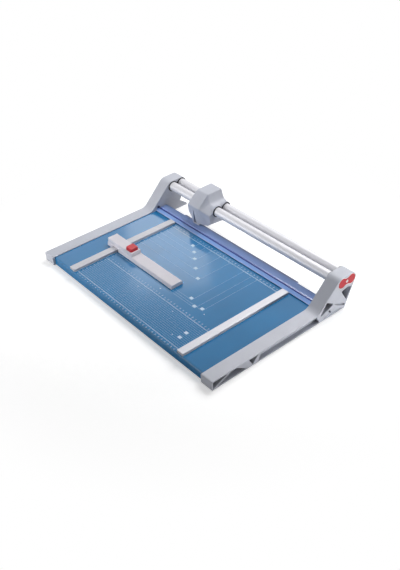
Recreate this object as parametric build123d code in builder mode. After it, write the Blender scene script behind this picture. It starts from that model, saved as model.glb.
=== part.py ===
"""Rolling paper trimmer: a folded table between two end frames, a cutting head on twin rails.

Millimetres. +Z is up, +Y runs along the cut away from the user, +X points from the table's front
edge to the cutting edge. The origin is on the floor, in the middle of the outline.
"""
import os
from math import cos, radians, sin, tan

from build123d import *

os.makedirs("parts", exist_ok=True)

# Table and cut
CUT_LENGTH = 360.0
END_ZONE = 79.0
TABLE_DEPTH = 330.5
BOARD_TOP = 21.0
SHEET = 1.5
FOLD_RADIUS = 2.0
SKIRT_GAP = 2.5
BOARD_END_GAP = 0.2

# Lower knife and the bar that carries it
KNIFE_WIDTH = 22.0
KNIFE_HEIGHT = 6.5
KNIFE_RELIEF = 1.0
KNIFE_GAP = 0.2
BAR_THICKNESS = 6.0
BAR_LIP = 9.0
BAR_SETBACK = 0.6

# End frames
FRAME_WIDTH = 32.0
FRAME_WALL = 3.0
TIP_OVERHANG = 5.5
ARM_RISE = 2.5
FOOT_PROUD = 1.0
BOSS_RADIUS = 14.0
SLOPE_ANGLE = 45.0
BEND_SETBACK = 68.5
BEND_RADIUS = 26.0
CROWN_RADIUS = 20.0
TIP_RADIUS = 2.5
REAR_LEAN = 23.25
HEEL_ROOT = 35.0
HEEL_REACH = 28.0
HEEL_HEIGHT = 20.0
HEEL_TOE = 4.0
HEEL_WIDTH = 6.0
EDGE_ROUND = 1.2

# Ribs and pockets of the end frames
POCKET_FLOOR = 3.0
RAMP_DEPTH = 15.0
FAN_DEPTH = 22.0
HEEL_POCKET_DEPTH = 2.5
BAND_DEPTH = 5.0
SHADE_DEPTH = 15.0
POCKET_DRAFT = 2.0
POCKET_ROUND = 1.2
TRUSS_FIRST_RUN = 39.0
TRUSS_RIB = 7.0
TRUSS_SECOND_TOP = 13.0
TRUSS_SECOND_LEAN = 27.0
TRUSS_FACET = 5.0
TRUSS_THIRD_TOP = 25.0
TRUSS_THIRD_LEAN = 10.0
RECESS_LEAN = 8.0
RECESS_DEPTH = 10.0
RECESS_WEB = 3.0
FAN_INSET = 5.5
FAN_LOW = 15.5
FAN_PEAK_X = 23.5
FAN_PEAK_Z = 43.5
FAN_TIP_X = 43.0
FAN_TIP_Z = 32.0
FAN_FOOT_X = 41.0
FAN_FOOT_Z = 27.0
SMALL_POCKET_X = 29.5
SMALL_POCKET_Z = 15.0
SMALL_POCKET_RUN = 8.0
SMALL_POCKET_RISE = 2.5
SMALL_POCKET_FOOT_X = 44.0
SMALL_POCKET_FOOT_Z = 4.5
HEEL_POCKET_X = 15.5
HEEL_BEND_X = 26.0
HEEL_BEND_Z = 15.0
HEEL_PEAK_X = 39.0
HEEL_PEAK_Z = 22.5
HEEL_END_X = 74.0
BAND_X = 47.0
BAND_Z = 24.0
BAND_RUN = 33.0
BAND_DROP = 16.0
BAND_LEAN = 3.0
BAND_HEIGHT = 4.0
SHADE_X = 66.0
SHADE_Z = 50.0
SHADE_PEAK_X = 86.0
SHADE_PEAK_Z = 53.0
SHADE_END_X = 98.0
SHADE_FOOT_X = 84.5
SHADE_FOOT_Z = 20.0

# Shelves of the end frames
LEDGE_REACH = 10.0
LEDGE_THICKNESS = 4.0
LEDGE_MARGIN = 6.0

# Rails
RAIL_SETBACK = 18.5
RAIL_SPACING = 26.5
RAIL_Z = 69.0
RAIL_RADIUS = 11.0
RAIL_WALL = 2.5
SOCKET_DEPTH = 18.0
SOCKET_CLEARANCE = 0.05
RAIL_END_GAP = 0.2
PLUG_LENGTH = 22.0
PLUG_CLEARANCE = 0.05
BOLT_RADIUS = 4.0
BOLT_CLEARANCE = 0.15
BOLT_HEAD_RADIUS = 6.5
BOLT_HEAD_HEIGHT = 5.0
BOLT_RECESS_CLEARANCE = 1.0
BOLT_END_GAP = 3.0

# Red covers with their pale rims and pins, and the dark rings
CAP_THICKNESS = 3.0
CAP_RADIUS = 11.4
CAP_NECK = 15.5
CAP_BLEND = 6.0
CAP_CLEARANCE = 0.25
CAP_EDGE = 0.6
RIM_WIDTH = 1.4
RIM_FIT = 0.05
RIM_EDGE = 0.4
PIN_HEAD_RADIUS = 3.4
PIN_HEAD_HEIGHT = 1.2
PIN_RADIUS = 1.6
PIN_BITE = 8.0
PIN_FIT = 0.1
SEAL_RADIUS = 13.2
SEAL_NECK = 10.0
SEAL_THICKNESS = 1.2
SEAL_CLEARANCE = 0.15

# Rulers
RULER_CLAMP_GAP = 3.0
RULER_WIDTH = 18.0
RULER_HEIGHT = 6.0
RULER_INSET = 2.5
RULER_GROOVE = 1.4
RULER_GROOVE_HEIGHT = 1.8
RULER_GROOVE_Z = 2.4
RULER_EDGE = 0.5

# Clamp strip
CLAMP_LIFT = 1.5
CLAMP_TRAVEL = 1.4
CLAMP_REACH = 38.0
CLAMP_EDGE = 1.2
CLAMP_SLOPE_RUN = 10.0
CLAMP_SLOPE_HEIGHT = 3.0
CLAMP_GROOVE_WIDTH = 4.5
CLAMP_GROOVE_DEPTH = 1.2
CLAMP_HEIGHT = 4.3
CLAMP_STEP = 1.5
CLAMP_LIP = 4.0
CLAMP_LIP_THICKNESS = 1.6
CLAMP_LIP_OVERRUN = 7.5
CLAMP_KNIFE_GAP = 0.4
CLAMP_END_GAP = 0.5
TAB_LENGTH = 6.0
TAB_WIDTH = 9.0
TAB_HEIGHT = 2.6
TAB_INSET = 3.0
TAB_CLEARANCE = 0.4
WINDOW_RISE = 8.0
LEAF_LENGTH = 24.0
LEAF_WIDTH = 6.0
LEAF_THICKNESS = 0.4
LEAF_INSET = 18.0

# Cutting head
HEAD_REST = 138.7
HEAD_NEAR = (0.0, 18.5, 21.5, 26.0, 31.0, 45.0)
HEAD_FAR = (0.0, 18.5, 20.5, 23.0, 26.0, 33.0)
TOP_RISE = (36.0, 36.0, 25.0, 17.0, 13.5, 6.0)
TOP_FRONT = (5.5, 5.5, 5.5, 5.5, 5.5, 6.0)
TOP_REAR = (11.5, 11.5, 11.0, 10.0, 9.0, 8.0)
RIDGE_REACH = (17.0, 17.0, 15.8, 14.1, 12.1, 6.6)
RIDGE_RISE = (9.0, 9.0, 7.6, 5.5, 3.2, -3.4)
NOSE_REACH = (15.0, 6.5, 5.5, 3.6, 1.5, 4.0)
FLOOR_RISE = (0.0, 0.0, 0.1, 0.3, 0.5, 12.5)
TAIL_RISE = (2.0, 2.0, 2.1, 2.3, 2.5, 8.0)
REAR_RISE = (9.0, 9.0, 9.0, 9.0, 7.0, 3.0)
TAIL_SETBACK = 6.0
REAR_REACH = 15.4
REAR_LOWER = 14.0
SLEEVE_RADIUS = 14.6
SLEEVE_LENGTH = 19.0
HEAD_FLOOR_GAP = 2.9
HEAD_ROUND = 3.5
BROW_ROUND = 9.0
RAIL_PASSAGE = 1.0
SIGHT_RISE = 3.0
SIGHT_WIDTH = 11.0

# Bushes of the head
BUSH_WALL = 2.0
BUSH_LENGTH = 14.0
BUSH_FIT = 0.06
BUSH_SEAT = 0.03

# Rotary blade and what carries it
BLADE_RADIUS = 23.0
BLADE_THICKNESS = 1.2
BLADE_BEVEL = 2.5
BLADE_OVERLAP = 2.5
BLADE_SIDE_GAP = 0.05
BLADE_ROOM = 1.5
BLADE_FRONT_ROOM = 2.2
BLADE_BACK_ROOM = 2.0
HUB_RADIUS = 8.5
HUB_LENGTH = 8.0
HUB_BOSS = 5.0
AXLE_RADIUS = 3.0
AXLE_FIT = 0.05
AXLE_HEAD_RADIUS = 5.0
AXLE_HEAD_HEIGHT = 1.2
AXLE_HEAD_GAP = 0.15
WASHER_HEIGHT = 1.5
WASHER_THICKNESS = 0.5
WASHER_RADIUS = 6.0
WASHER_GAP = 0.12
WASHER_BORE_GAP = 0.3
CARRIER_THICKNESS = 7.0
CARRIER_HALF = 13.0
CARRIER_ROOM = 2.5
CARRIER_BACK_ROOM = 1.5
RAIL_WEB = 2.0

# Base plate and shoe of the head
PLATE_THICKNESS = 3.0
PLATE_HALF = 25.0
PLATE_FIT = 0.1
HEAD_SCREW_RADIUS = 1.6
HEAD_SCREW_HEAD = 3.0
HEAD_SCREW_HEAD_HEIGHT = 1.6
HEAD_SCREW_LENGTH = 14.0
HEAD_SCREW_INSET = 4.0
SCREW_FIT = 0.08
SHOE_HALF = 11.0
SHOE_WIDTH = 7.0
SHOE_INSET = 3.4
SHOE_GAP = 0.3
SHOE_TOE = 1.5

# Back stop
STOP_REST = 140.3
STOP_WIDTH = 31.5
STOP_LENGTH = 236.0
STOP_OVERHANG = 20.5
STOP_BLOCK = 91.0
STOP_BLOCK_HEIGHT = 18.0
STOP_ARM_HEIGHT = 8.8
STOP_WALL = 1.9
STOP_GAP = 0.3
STOP_ROUND = 2.0
STOP_STEP_ROUND = 1.5
STOP_SIDE_LEAN = 1.6
BLOCK_INSET = 2.4
BLOCK_STEP = 0.8
TUNNEL_WALL = 3.0

# Release button and lock
BUTTON_LENGTH = 20.5
BUTTON_WIDTH = 21.5
BUTTON_PRESSED = 4.8
BUTTON_INSET = 4.2
BUTTON_CORNER = 3.0
BUTTON_ROUND = 1.2
BUTTON_TAPER = 5.0
BUTTON_GAP = 0.3
BUTTON_FLANGE = 2.0
BUTTON_FLANGE_HEIGHT = 2.0
BUTTON_TRAVEL = 2.5
FLOOR_THICKNESS = 1.5
FLOOR_LIFT = 0.6
FLOOR_FIT = 0.1
JAW_WIDTH = 16.0
JAW_THICKNESS = 1.2
JAW_BITE = 0.8
JAW_LEG = 9.0
SPRING_WIDTH = 8.0
SPRING_THICKNESS = 0.5

# Fasteners and feet
STUD_RADIUS = 2.0
STUD_TAIL = 2.0
NUT_RADIUS = 4.0
NUT_HEIGHT = 3.0
STUD_COUNT = 3
SCREW_RADIUS = 1.6
SCREW_HEAD_RADIUS = 3.4
SCREW_HEAD_HEIGHT = 2.0
RULER_SCREW_BITE = 3.5
KNIFE_SCREW_COUNT = 5
KNIFE_SCREW_BITE = 4.0
BAR_SCREW_BITE = 4.5
SCREW_MARGIN = 40.0
STIFFENER_WIDTH = 40.0
STIFFENER_HEIGHT = 12.0
STIFFENER_FLANGE = 10.0
STIFFENER_COUNT = 2
FOOT_RADIUS = 8.0
FOOT_RECESS = 0.8
FOOT_TIP_INSET = 45.0
FOOT_REAR_SETBACK = 22.0
FOOT_FIT = 0.1

# Places worked out from the sizes
DEPTH = TIP_OVERHANG + TABLE_DEPTH + RAIL_SETBACK + RAIL_SPACING + REAR_REACH
FRAME_TIP = -DEPTH / 2
BOARD_FRONT = FRAME_TIP + TIP_OVERHANG
CUT_X = BOARD_FRONT + TABLE_DEPTH
FRONT_RAIL_X = CUT_X + RAIL_SETBACK
REAR_RAIL_X = FRONT_RAIL_X + RAIL_SPACING
RAIL_MID_X = (FRONT_RAIL_X + REAR_RAIL_X) / 2
RAIL_POINTS = ((FRONT_RAIL_X, RAIL_Z), (REAR_RAIL_X, RAIL_Z))
INNER_Y = CUT_LENGTH / 2 + END_ZONE
OUTER_Y = INNER_Y + FRAME_WIDTH
FRAME_BASE = FOOT_PROUD
ARM_TOP = BOARD_TOP + ARM_RISE
FRAME_TOP = RAIL_Z + BOSS_RADIUS
BEND_X = FRONT_RAIL_X - BEND_SETBACK
BOARD_UNDER = BOARD_TOP - SHEET
BOARD_BACK = CUT_X - KNIFE_WIDTH - KNIFE_GAP
KNIFE_BOTTOM = BOARD_TOP - KNIFE_HEIGHT
BAR_BOTTOM = KNIFE_BOTTOM - BAR_THICKNESS
BAR_BACK = CUT_X - BAR_SETBACK
BAR_FRONT = BOARD_BACK - BAR_LIP
RULER_FRONT = BOARD_FRONT + RULER_INSET
RULER_LENGTH = CUT_X - CLAMP_REACH - RULER_CLAMP_GAP - RULER_FRONT
RULER_Y = CUT_LENGTH / 2 + RULER_WIDTH / 2
RULER_TOP = BOARD_TOP + RULER_HEIGHT


# End frames: outline in the XZ plane, then pockets from the outside
def rear_edge(z):
    """X of the leaning rear edge at a height, tangent to the rear rail's boss."""
    lean = radians(REAR_LEAN)
    return REAR_RAIL_X + (BOSS_RADIUS + (z - RAIL_Z) * sin(lean)) / cos(lean)


def figure_eight(radius, neck):
    """Draw two rail-centred discs joined by a neck, in the XZ plane."""
    with Locations(*RAIL_POINTS):
        Circle(radius)
    with Locations((RAIL_MID_X, RAIL_Z)):
        Rectangle(RAIL_SPACING, neck)


def neck_corners(sketch):
    """Corners where the neck of a figure eight meets its discs."""
    return sketch.vertices().filter_by(lambda v: abs(v.Y - RAIL_Z) > CAP_NECK / 4)


def cap_outline(margin):
    """Outline of the red cover on the near outer face, grown by a margin."""
    with BuildSketch(Plane.XZ.offset(OUTER_Y)) as outline:
        figure_eight(CAP_RADIUS + margin, CAP_NECK + 2 * margin)
        fillet(neck_corners(outline), CAP_BLEND - margin)
    return outline.sketch


pocket_low = FRAME_BASE + FRAME_WALL
pocket_high = ARM_TOP - FRAME_WALL
pocket_front = FRAME_TIP + FRAME_WALL
second_low = pocket_front + TRUSS_RIB
second_high = second_low + TRUSS_FIRST_RUN
second_end = second_high + TRUSS_SECOND_TOP
third_high = second_end + TRUSS_SECOND_LEAN + TRUSS_FACET
third_low = third_high + TRUSS_THIRD_LEAN
third_end = third_high + TRUSS_THIRD_TOP
recess_high = third_end + TRUSS_RIB
recess_low = recess_high - RECESS_LEAN
recess_end_low = BEND_X + RECESS_LEAN / 2
recess_end_high = BEND_X - RECESS_LEAN / 2

full_depth = FRAME_WIDTH - POCKET_FLOOR
tip_pocket = (
    (pocket_front, pocket_low),
    (pocket_front, pocket_high),
    (pocket_front + TRUSS_FIRST_RUN, pocket_high),
)
ramp_pocket = (
    (second_low, pocket_low),
    (second_high, pocket_high),
    (second_end, pocket_high),
    (second_end + TRUSS_SECOND_LEAN, pocket_low),
)
third_pocket = ((third_high, pocket_high), (third_end, pocket_high), (third_low, pocket_low))
fan_pocket = (
    (BEND_X + FAN_INSET, FAN_LOW),
    (BEND_X + FAN_PEAK_X, FAN_PEAK_Z),
    (BEND_X + FAN_TIP_X, FAN_TIP_Z),
    (BEND_X + FAN_FOOT_X, FAN_FOOT_Z),
)
small_pocket = (
    (BEND_X + SMALL_POCKET_X, SMALL_POCKET_Z),
    (BEND_X + SMALL_POCKET_X + SMALL_POCKET_RUN, SMALL_POCKET_Z + SMALL_POCKET_RISE),
    (BEND_X + SMALL_POCKET_FOOT_X, SMALL_POCKET_FOOT_Z),
)
heel_pocket = (
    (BEND_X + HEEL_POCKET_X, pocket_low),
    (BEND_X + HEEL_BEND_X, HEEL_BEND_Z),
    (BEND_X + HEEL_PEAK_X, HEEL_PEAK_Z),
    (BEND_X + HEEL_END_X, pocket_low),
)
band_pocket = (
    (BEND_X + BAND_X, BAND_Z),
    (BEND_X + BAND_X + BAND_LEAN, BAND_Z + BAND_HEIGHT),
    (BEND_X + BAND_X + BAND_LEAN + BAND_RUN, BAND_Z + BAND_HEIGHT - BAND_DROP),
    (BEND_X + BAND_X + BAND_RUN, BAND_Z - BAND_DROP),
)
shade_pocket = (
    (BEND_X + SHADE_X, SHADE_Z),
    (BEND_X + SHADE_PEAK_X, SHADE_PEAK_Z),
    (BEND_X + SHADE_END_X, SHADE_Z),
    (BEND_X + SHADE_FOOT_X, SHADE_FOOT_Z),
)
pockets = (
    (tip_pocket, full_depth),
    (ramp_pocket, RAMP_DEPTH),
    (third_pocket, full_depth),
    (fan_pocket, FAN_DEPTH),
    (small_pocket, full_depth),
    (heel_pocket, HEEL_POCKET_DEPTH),
    (band_pocket, BAND_DEPTH),
    (shade_pocket, SHADE_DEPTH),
)
tab_low = BOARD_TOP + CLAMP_LIFT
tab_front = CUT_X - CLAMP_REACH + TAB_INSET

with BuildPart() as near_frame:
    with BuildSketch(Plane.XZ.offset(OUTER_Y)):
        with BuildLine():
            FilletPolyline(
                (FRAME_TIP, FRAME_BASE),
                (FRAME_TIP, ARM_TOP),
                (BEND_X, ARM_TOP),
                (BEND_X + (FRAME_TOP - ARM_TOP) / tan(radians(SLOPE_ANGLE)), FRAME_TOP),
                (rear_edge(FRAME_TOP), FRAME_TOP),
                (rear_edge(FRAME_BASE), FRAME_BASE),
                radius=[TIP_RADIUS, TIP_RADIUS, BEND_RADIUS, CROWN_RADIUS, BOSS_RADIUS, TIP_RADIUS],
                close=True,
            )
        make_face()
    extrude(amount=-FRAME_WIDTH)
    flat_sides = near_frame.faces().filter_by(Axis.Y)
    rim = flat_sides.edges().filter_by(lambda e: e.center().Z > FRAME_BASE + TIP_RADIUS)
    fillet(rim, EDGE_ROUND)
    # Heel of the inner wall behind the leaning edge
    with BuildSketch(Plane.XZ.offset(INNER_Y + HEEL_WIDTH)):
        with BuildLine():
            Polyline(
                (rear_edge(FRAME_BASE) - HEEL_ROOT, FRAME_BASE),
                (rear_edge(FRAME_BASE) + HEEL_REACH, FRAME_BASE),
                (rear_edge(FRAME_BASE) + HEEL_REACH, FRAME_BASE + HEEL_TOE),
                (rear_edge(HEEL_HEIGHT), HEEL_HEIGHT),
                (rear_edge(FRAME_BASE) - HEEL_ROOT, HEEL_HEIGHT),
                close=True,
            )
        make_face()
    extrude(amount=-HEEL_WIDTH)
    # Deep pockets between the ribs
    for corners, depth in pockets:
        with BuildSketch(Plane.XZ.offset(OUTER_Y)) as pocket:
            with BuildLine():
                Polyline(*corners, close=True)
            make_face()
            fillet(pocket.vertices(), POCKET_ROUND)
        extrude(amount=-depth, taper=POCKET_DRAFT, mode=Mode.SUBTRACT)
    # Long recess of the arm, and the hollow behind its web, open below
    with BuildSketch(Plane.XZ.offset(OUTER_Y)):
        with BuildLine():
            Polyline(
                (recess_low, pocket_low),
                (recess_high, pocket_high),
                (recess_end_high, pocket_high),
                (recess_end_low, pocket_low),
                close=True,
            )
        make_face()
    extrude(amount=-RECESS_DEPTH, mode=Mode.SUBTRACT)
    with BuildSketch(Plane.XY.offset(FRAME_BASE)):
        hollow_width = FRAME_WIDTH - RECESS_DEPTH - RECESS_WEB - FRAME_WALL
        with Locations(((recess_high + recess_end_high) / 2, -(INNER_Y + FRAME_WALL + hollow_width / 2))):
            Rectangle(recess_end_high - recess_high, hollow_width)
    extrude(amount=pocket_high - FRAME_BASE, mode=Mode.SUBTRACT)
    # Shelf under the board's end, and the lower shelf under the knife bar
    with BuildSketch(Plane.XZ.offset(INNER_Y)):
        with BuildLine():
            Polyline(
                (BOARD_FRONT + SHEET + LEDGE_MARGIN, BOARD_UNDER),
                (BAR_FRONT - LEDGE_MARGIN, BOARD_UNDER),
                (BAR_FRONT - LEDGE_MARGIN, BAR_BOTTOM),
                (BAR_BACK, BAR_BOTTOM),
                (BAR_BACK, BAR_BOTTOM - LEDGE_THICKNESS),
                (BAR_FRONT - LEDGE_MARGIN - LEDGE_THICKNESS, BAR_BOTTOM - LEDGE_THICKNESS),
                (BAR_FRONT - LEDGE_MARGIN - LEDGE_THICKNESS, BOARD_UNDER - LEDGE_THICKNESS),
                (BOARD_FRONT + SHEET + LEDGE_MARGIN, BOARD_UNDER - LEDGE_THICKNESS),
                close=True,
            )
        make_face()
    extrude(amount=-LEDGE_REACH)
    # Window that guides the clamp strip's end tab
    with BuildSketch(Plane.XZ.offset(INNER_Y)):
        window_low = tab_low - CLAMP_TRAVEL - TAB_CLEARANCE
        window_high = tab_low + TAB_HEIGHT + WINDOW_RISE
        with Locations((tab_front + TAB_WIDTH / 2, (window_low + window_high) / 2)):
            Rectangle(TAB_WIDTH + 2 * TAB_CLEARANCE, window_high - window_low)
    extrude(amount=TAB_LENGTH + TAB_CLEARANCE, mode=Mode.SUBTRACT)
    # Rail sockets, bolt holes and the seat of the red cover
    with BuildSketch(Plane.XZ.offset(INNER_Y)):
        with Locations(*RAIL_POINTS):
            Circle(RAIL_RADIUS + SOCKET_CLEARANCE)
    extrude(amount=SOCKET_DEPTH, mode=Mode.SUBTRACT)
    with BuildSketch(Plane.XZ.offset(OUTER_Y)):
        with Locations(*RAIL_POINTS):
            Circle(BOLT_RADIUS + BOLT_CLEARANCE)
    extrude(amount=-FRAME_WIDTH, mode=Mode.SUBTRACT)
    with BuildSketch(Plane.XZ.offset(OUTER_Y)):
        with Locations(*RAIL_POINTS):
            Circle(BOLT_HEAD_RADIUS + BOLT_RECESS_CLEARANCE)
    extrude(amount=-(CAP_THICKNESS + BOLT_HEAD_HEIGHT), mode=Mode.SUBTRACT)
    extrude(cap_outline(CAP_CLEARANCE + RIM_WIDTH + RIM_FIT), amount=-CAP_THICKNESS, mode=Mode.SUBTRACT)
    with BuildSketch(Plane.XZ.offset(OUTER_Y - CAP_THICKNESS)):
        with Locations((RAIL_MID_X, RAIL_Z)):
            Circle(PIN_RADIUS + PIN_FIT)
    extrude(amount=-(PIN_BITE + PIN_FIT), mode=Mode.SUBTRACT)
    # Seats of the rubber feet, board studs and knife bar screws
    foot_xs = (FRAME_TIP + FOOT_TIP_INSET, rear_edge(FRAME_BASE) - FOOT_REAR_SETBACK)
    foot_y = INNER_Y + FRAME_WIDTH / 2
    stud_y = INNER_Y - LEDGE_REACH / 2
    stud_start = BOARD_FRONT + SCREW_MARGIN
    stud_pitch = (BAR_FRONT - SCREW_MARGIN - stud_start) / (STUD_COUNT - 1)
    stud_xs = [stud_start + stud_pitch * i for i in range(STUD_COUNT)]
    bar_screw_x = (BAR_FRONT + BAR_BACK) / 2
    with BuildSketch(Plane.XY.offset(FRAME_BASE)):
        with Locations(*[(x, -foot_y) for x in foot_xs]):
            Circle(FOOT_RADIUS + FOOT_FIT)
    extrude(amount=FOOT_RECESS, mode=Mode.SUBTRACT)
    with BuildSketch(Plane.XY.offset(BOARD_UNDER)):
        with Locations(*[(x, -stud_y) for x in stud_xs]):
            Circle(STUD_RADIUS + SCREW_FIT)
    extrude(amount=-LEDGE_THICKNESS, mode=Mode.SUBTRACT)
    with BuildSketch(Plane.XY.offset(BAR_BOTTOM)):
        with Locations((bar_screw_x, -stud_y)):
            Circle(SCREW_RADIUS + SCREW_FIT)
    extrude(amount=-LEDGE_THICKNESS, mode=Mode.SUBTRACT)
near_frame.part.label = "near_frame"
export_step(near_frame.part, "parts/near_frame.step")

with BuildPart() as far_frame:
    mirror(near_frame.part, about=Plane.XZ)
far_frame.part.label = "far_frame"
export_step(far_frame.part, "parts/far_frame.step")

# Board: one folded sheet with a front skirt and a rear flange
stiffener_pitch = (BAR_FRONT - BOARD_FRONT) / (STIFFENER_COUNT + 1)
board_half = INNER_Y - BOARD_END_GAP
with BuildPart() as board:
    with BuildSketch(Plane.XZ):
        with BuildLine():
            FilletPolyline(
                (BOARD_FRONT, SKIRT_GAP),
                (BOARD_FRONT, BOARD_TOP),
                (BOARD_BACK, BOARD_TOP),
                (BOARD_BACK, KNIFE_BOTTOM),
                (BOARD_BACK - SHEET, KNIFE_BOTTOM),
                (BOARD_BACK - SHEET, BOARD_UNDER),
                (BOARD_FRONT + SHEET, BOARD_UNDER),
                (BOARD_FRONT + SHEET, SKIRT_GAP),
                radius=[0, FOLD_RADIUS + SHEET, SHEET, 0, 0, 0, FOLD_RADIUS, 0],
                close=True,
            )
        make_face()
    extrude(amount=board_half, both=True)
    ruler_screw_xs = [BOARD_FRONT + stiffener_pitch * (i + 0.5) for i in range(STIFFENER_COUNT + 1)]
    ruler_screw_points = [(x, y) for x in ruler_screw_xs for y in (-RULER_Y, RULER_Y)]
    with BuildSketch(Plane.XY.offset(BOARD_UNDER)):
        with Locations(*ruler_screw_points):
            Circle(SCREW_RADIUS + SCREW_FIT)
    extrude(amount=SHEET, mode=Mode.SUBTRACT)
board.part.label = "board"
export_step(board.part, "parts/board.step")

# Stiffeners: hat channels under the board
stiffener_length = 2 * (INNER_Y - LEDGE_REACH - LEDGE_MARGIN)
with BuildPart() as stiffeners:
    for i in range(STIFFENER_COUNT):
        middle = BOARD_FRONT + stiffener_pitch * (i + 1)
        half = STIFFENER_WIDTH / 2
        low = BOARD_UNDER - STIFFENER_HEIGHT
        with BuildSketch(Plane.XZ):
            with BuildLine():
                Polyline(
                    (middle - half - STIFFENER_FLANGE, BOARD_UNDER),
                    (middle - half + SHEET, BOARD_UNDER),
                    (middle - half + SHEET, low + SHEET),
                    (middle + half - SHEET, low + SHEET),
                    (middle + half - SHEET, BOARD_UNDER),
                    (middle + half + STIFFENER_FLANGE, BOARD_UNDER),
                    (middle + half + STIFFENER_FLANGE, BOARD_UNDER - SHEET),
                    (middle + half, BOARD_UNDER - SHEET),
                    (middle + half, low),
                    (middle - half, low),
                    (middle - half, BOARD_UNDER - SHEET),
                    (middle - half - STIFFENER_FLANGE, BOARD_UNDER - SHEET),
                    close=True,
                )
            make_face()
        extrude(amount=stiffener_length / 2, both=True)
stiffeners.part.label = "stiffeners"
export_step(stiffeners.part, "parts/stiffeners.step")

# Knife bar: flat steel carrier under the knife and the board's flange
knife_screw_pitch = 2 * (INNER_Y - SCREW_MARGIN) / (KNIFE_SCREW_COUNT - 1)
knife_screw_ys = [-(INNER_Y - SCREW_MARGIN) + knife_screw_pitch * i for i in range(KNIFE_SCREW_COUNT)]
knife_screw_x = CUT_X - KNIFE_WIDTH / 2
knife_screw_points = [(knife_screw_x, y) for y in knife_screw_ys]
bar_screw_points = [(bar_screw_x, y) for y in (-stud_y, stud_y)]
with BuildPart() as knife_bar:
    with BuildSketch(Plane.XY.offset(BAR_BOTTOM)):
        with Locations(((BAR_FRONT + BAR_BACK) / 2, 0)):
            Rectangle(BAR_BACK - BAR_FRONT, 2 * board_half)
        with Locations(*knife_screw_points):
            Circle(SCREW_RADIUS + SCREW_FIT, mode=Mode.SUBTRACT)
    extrude(amount=BAR_THICKNESS)
    with BuildSketch(Plane.XY.offset(BAR_BOTTOM)):
        with Locations(*bar_screw_points):
            Circle(SCREW_RADIUS + SCREW_FIT)
    extrude(amount=BAR_SCREW_BITE + SCREW_FIT, mode=Mode.SUBTRACT)
knife_bar.part.label = "knife_bar"
export_step(knife_bar.part, "parts/knife_bar.step")

# Lower knife: ground bar with a relieved outer face
with BuildPart() as lower_knife:
    with BuildSketch(Plane.XZ):
        with BuildLine():
            Polyline(
                (CUT_X - KNIFE_WIDTH, KNIFE_BOTTOM),
                (CUT_X - KNIFE_WIDTH, BOARD_TOP),
                (CUT_X, BOARD_TOP),
                (CUT_X, BOARD_TOP - BLADE_OVERLAP - KNIFE_RELIEF),
                (CUT_X - KNIFE_RELIEF, BOARD_TOP - BLADE_OVERLAP - 2 * KNIFE_RELIEF),
                (CUT_X - KNIFE_RELIEF, KNIFE_BOTTOM),
                close=True,
            )
        make_face()
    extrude(amount=board_half, both=True)
    with BuildSketch(Plane.XY.offset(KNIFE_BOTTOM)):
        with Locations(*knife_screw_points):
            Circle(SCREW_RADIUS + SCREW_FIT)
    extrude(amount=KNIFE_SCREW_BITE + SCREW_FIT, mode=Mode.SUBTRACT)
lower_knife.part.label = "lower_knife"
export_step(lower_knife.part, "parts/lower_knife.step")


# Fasteners: a pan head under a seat, with a shank that goes up into its hole
def pan_screws(points, seat, bite, head_radius, head_height, shank_radius):
    """Solids of identical screws whose heads bear on a seat from below."""
    with BuildPart() as screws:
        with BuildSketch(Plane.XY.offset(seat)):
            with Locations(*points):
                Circle(head_radius)
        extrude(amount=-head_height)
        with BuildSketch(Plane.XY.offset(seat)):
            with Locations(*points):
                Circle(shank_radius)
        extrude(amount=bite)
    return screws.part


knife_screws = pan_screws(
    knife_screw_points,
    BAR_BOTTOM,
    BAR_THICKNESS + KNIFE_SCREW_BITE,
    SCREW_HEAD_RADIUS,
    SCREW_HEAD_HEIGHT,
    SCREW_RADIUS,
)
knife_screws.label = "knife_screws"
export_step(knife_screws, "parts/knife_screws.step")

bar_screws = pan_screws(
    bar_screw_points,
    BAR_BOTTOM - LEDGE_THICKNESS,
    LEDGE_THICKNESS + BAR_SCREW_BITE,
    SCREW_HEAD_RADIUS,
    SCREW_HEAD_HEIGHT,
    SCREW_RADIUS,
)
bar_screws.label = "bar_screws"
export_step(bar_screws, "parts/bar_screws.step")

ruler_screws = pan_screws(
    ruler_screw_points,
    BOARD_UNDER,
    SHEET + RULER_SCREW_BITE,
    SCREW_HEAD_RADIUS,
    SCREW_HEAD_HEIGHT,
    SCREW_RADIUS,
)
ruler_screws.label = "ruler_screws"
export_step(ruler_screws, "parts/ruler_screws.step")

# Board studs: welded under the sheet, each with its nut below the shelf
stud_points = [(x, y) for x in stud_xs for y in (-stud_y, stud_y)]
with BuildPart() as board_studs:
    with BuildSketch(Plane.XY.offset(BOARD_UNDER)):
        with Locations(*stud_points):
            Circle(STUD_RADIUS)
    extrude(amount=-(LEDGE_THICKNESS + NUT_HEIGHT + STUD_TAIL))
    with BuildSketch(Plane.XY.offset(BOARD_UNDER - LEDGE_THICKNESS)):
        with Locations(*stud_points):
            RegularPolygon(NUT_RADIUS, 6)
    extrude(amount=-NUT_HEIGHT)
board_studs.part.label = "board_studs"
export_step(board_studs.part, "parts/board_studs.step")

# Feet: rubber pads let into the underside of the end frames
foot_points = [(x, y) for x in foot_xs for y in (-foot_y, foot_y)]
with BuildPart() as feet:
    with BuildSketch(Plane.XY):
        with Locations(*foot_points):
            Circle(FOOT_RADIUS)
    extrude(amount=FOOT_PROUD + FOOT_RECESS)
feet.part.label = "feet"
export_step(feet.part, "parts/feet.step")

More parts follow.
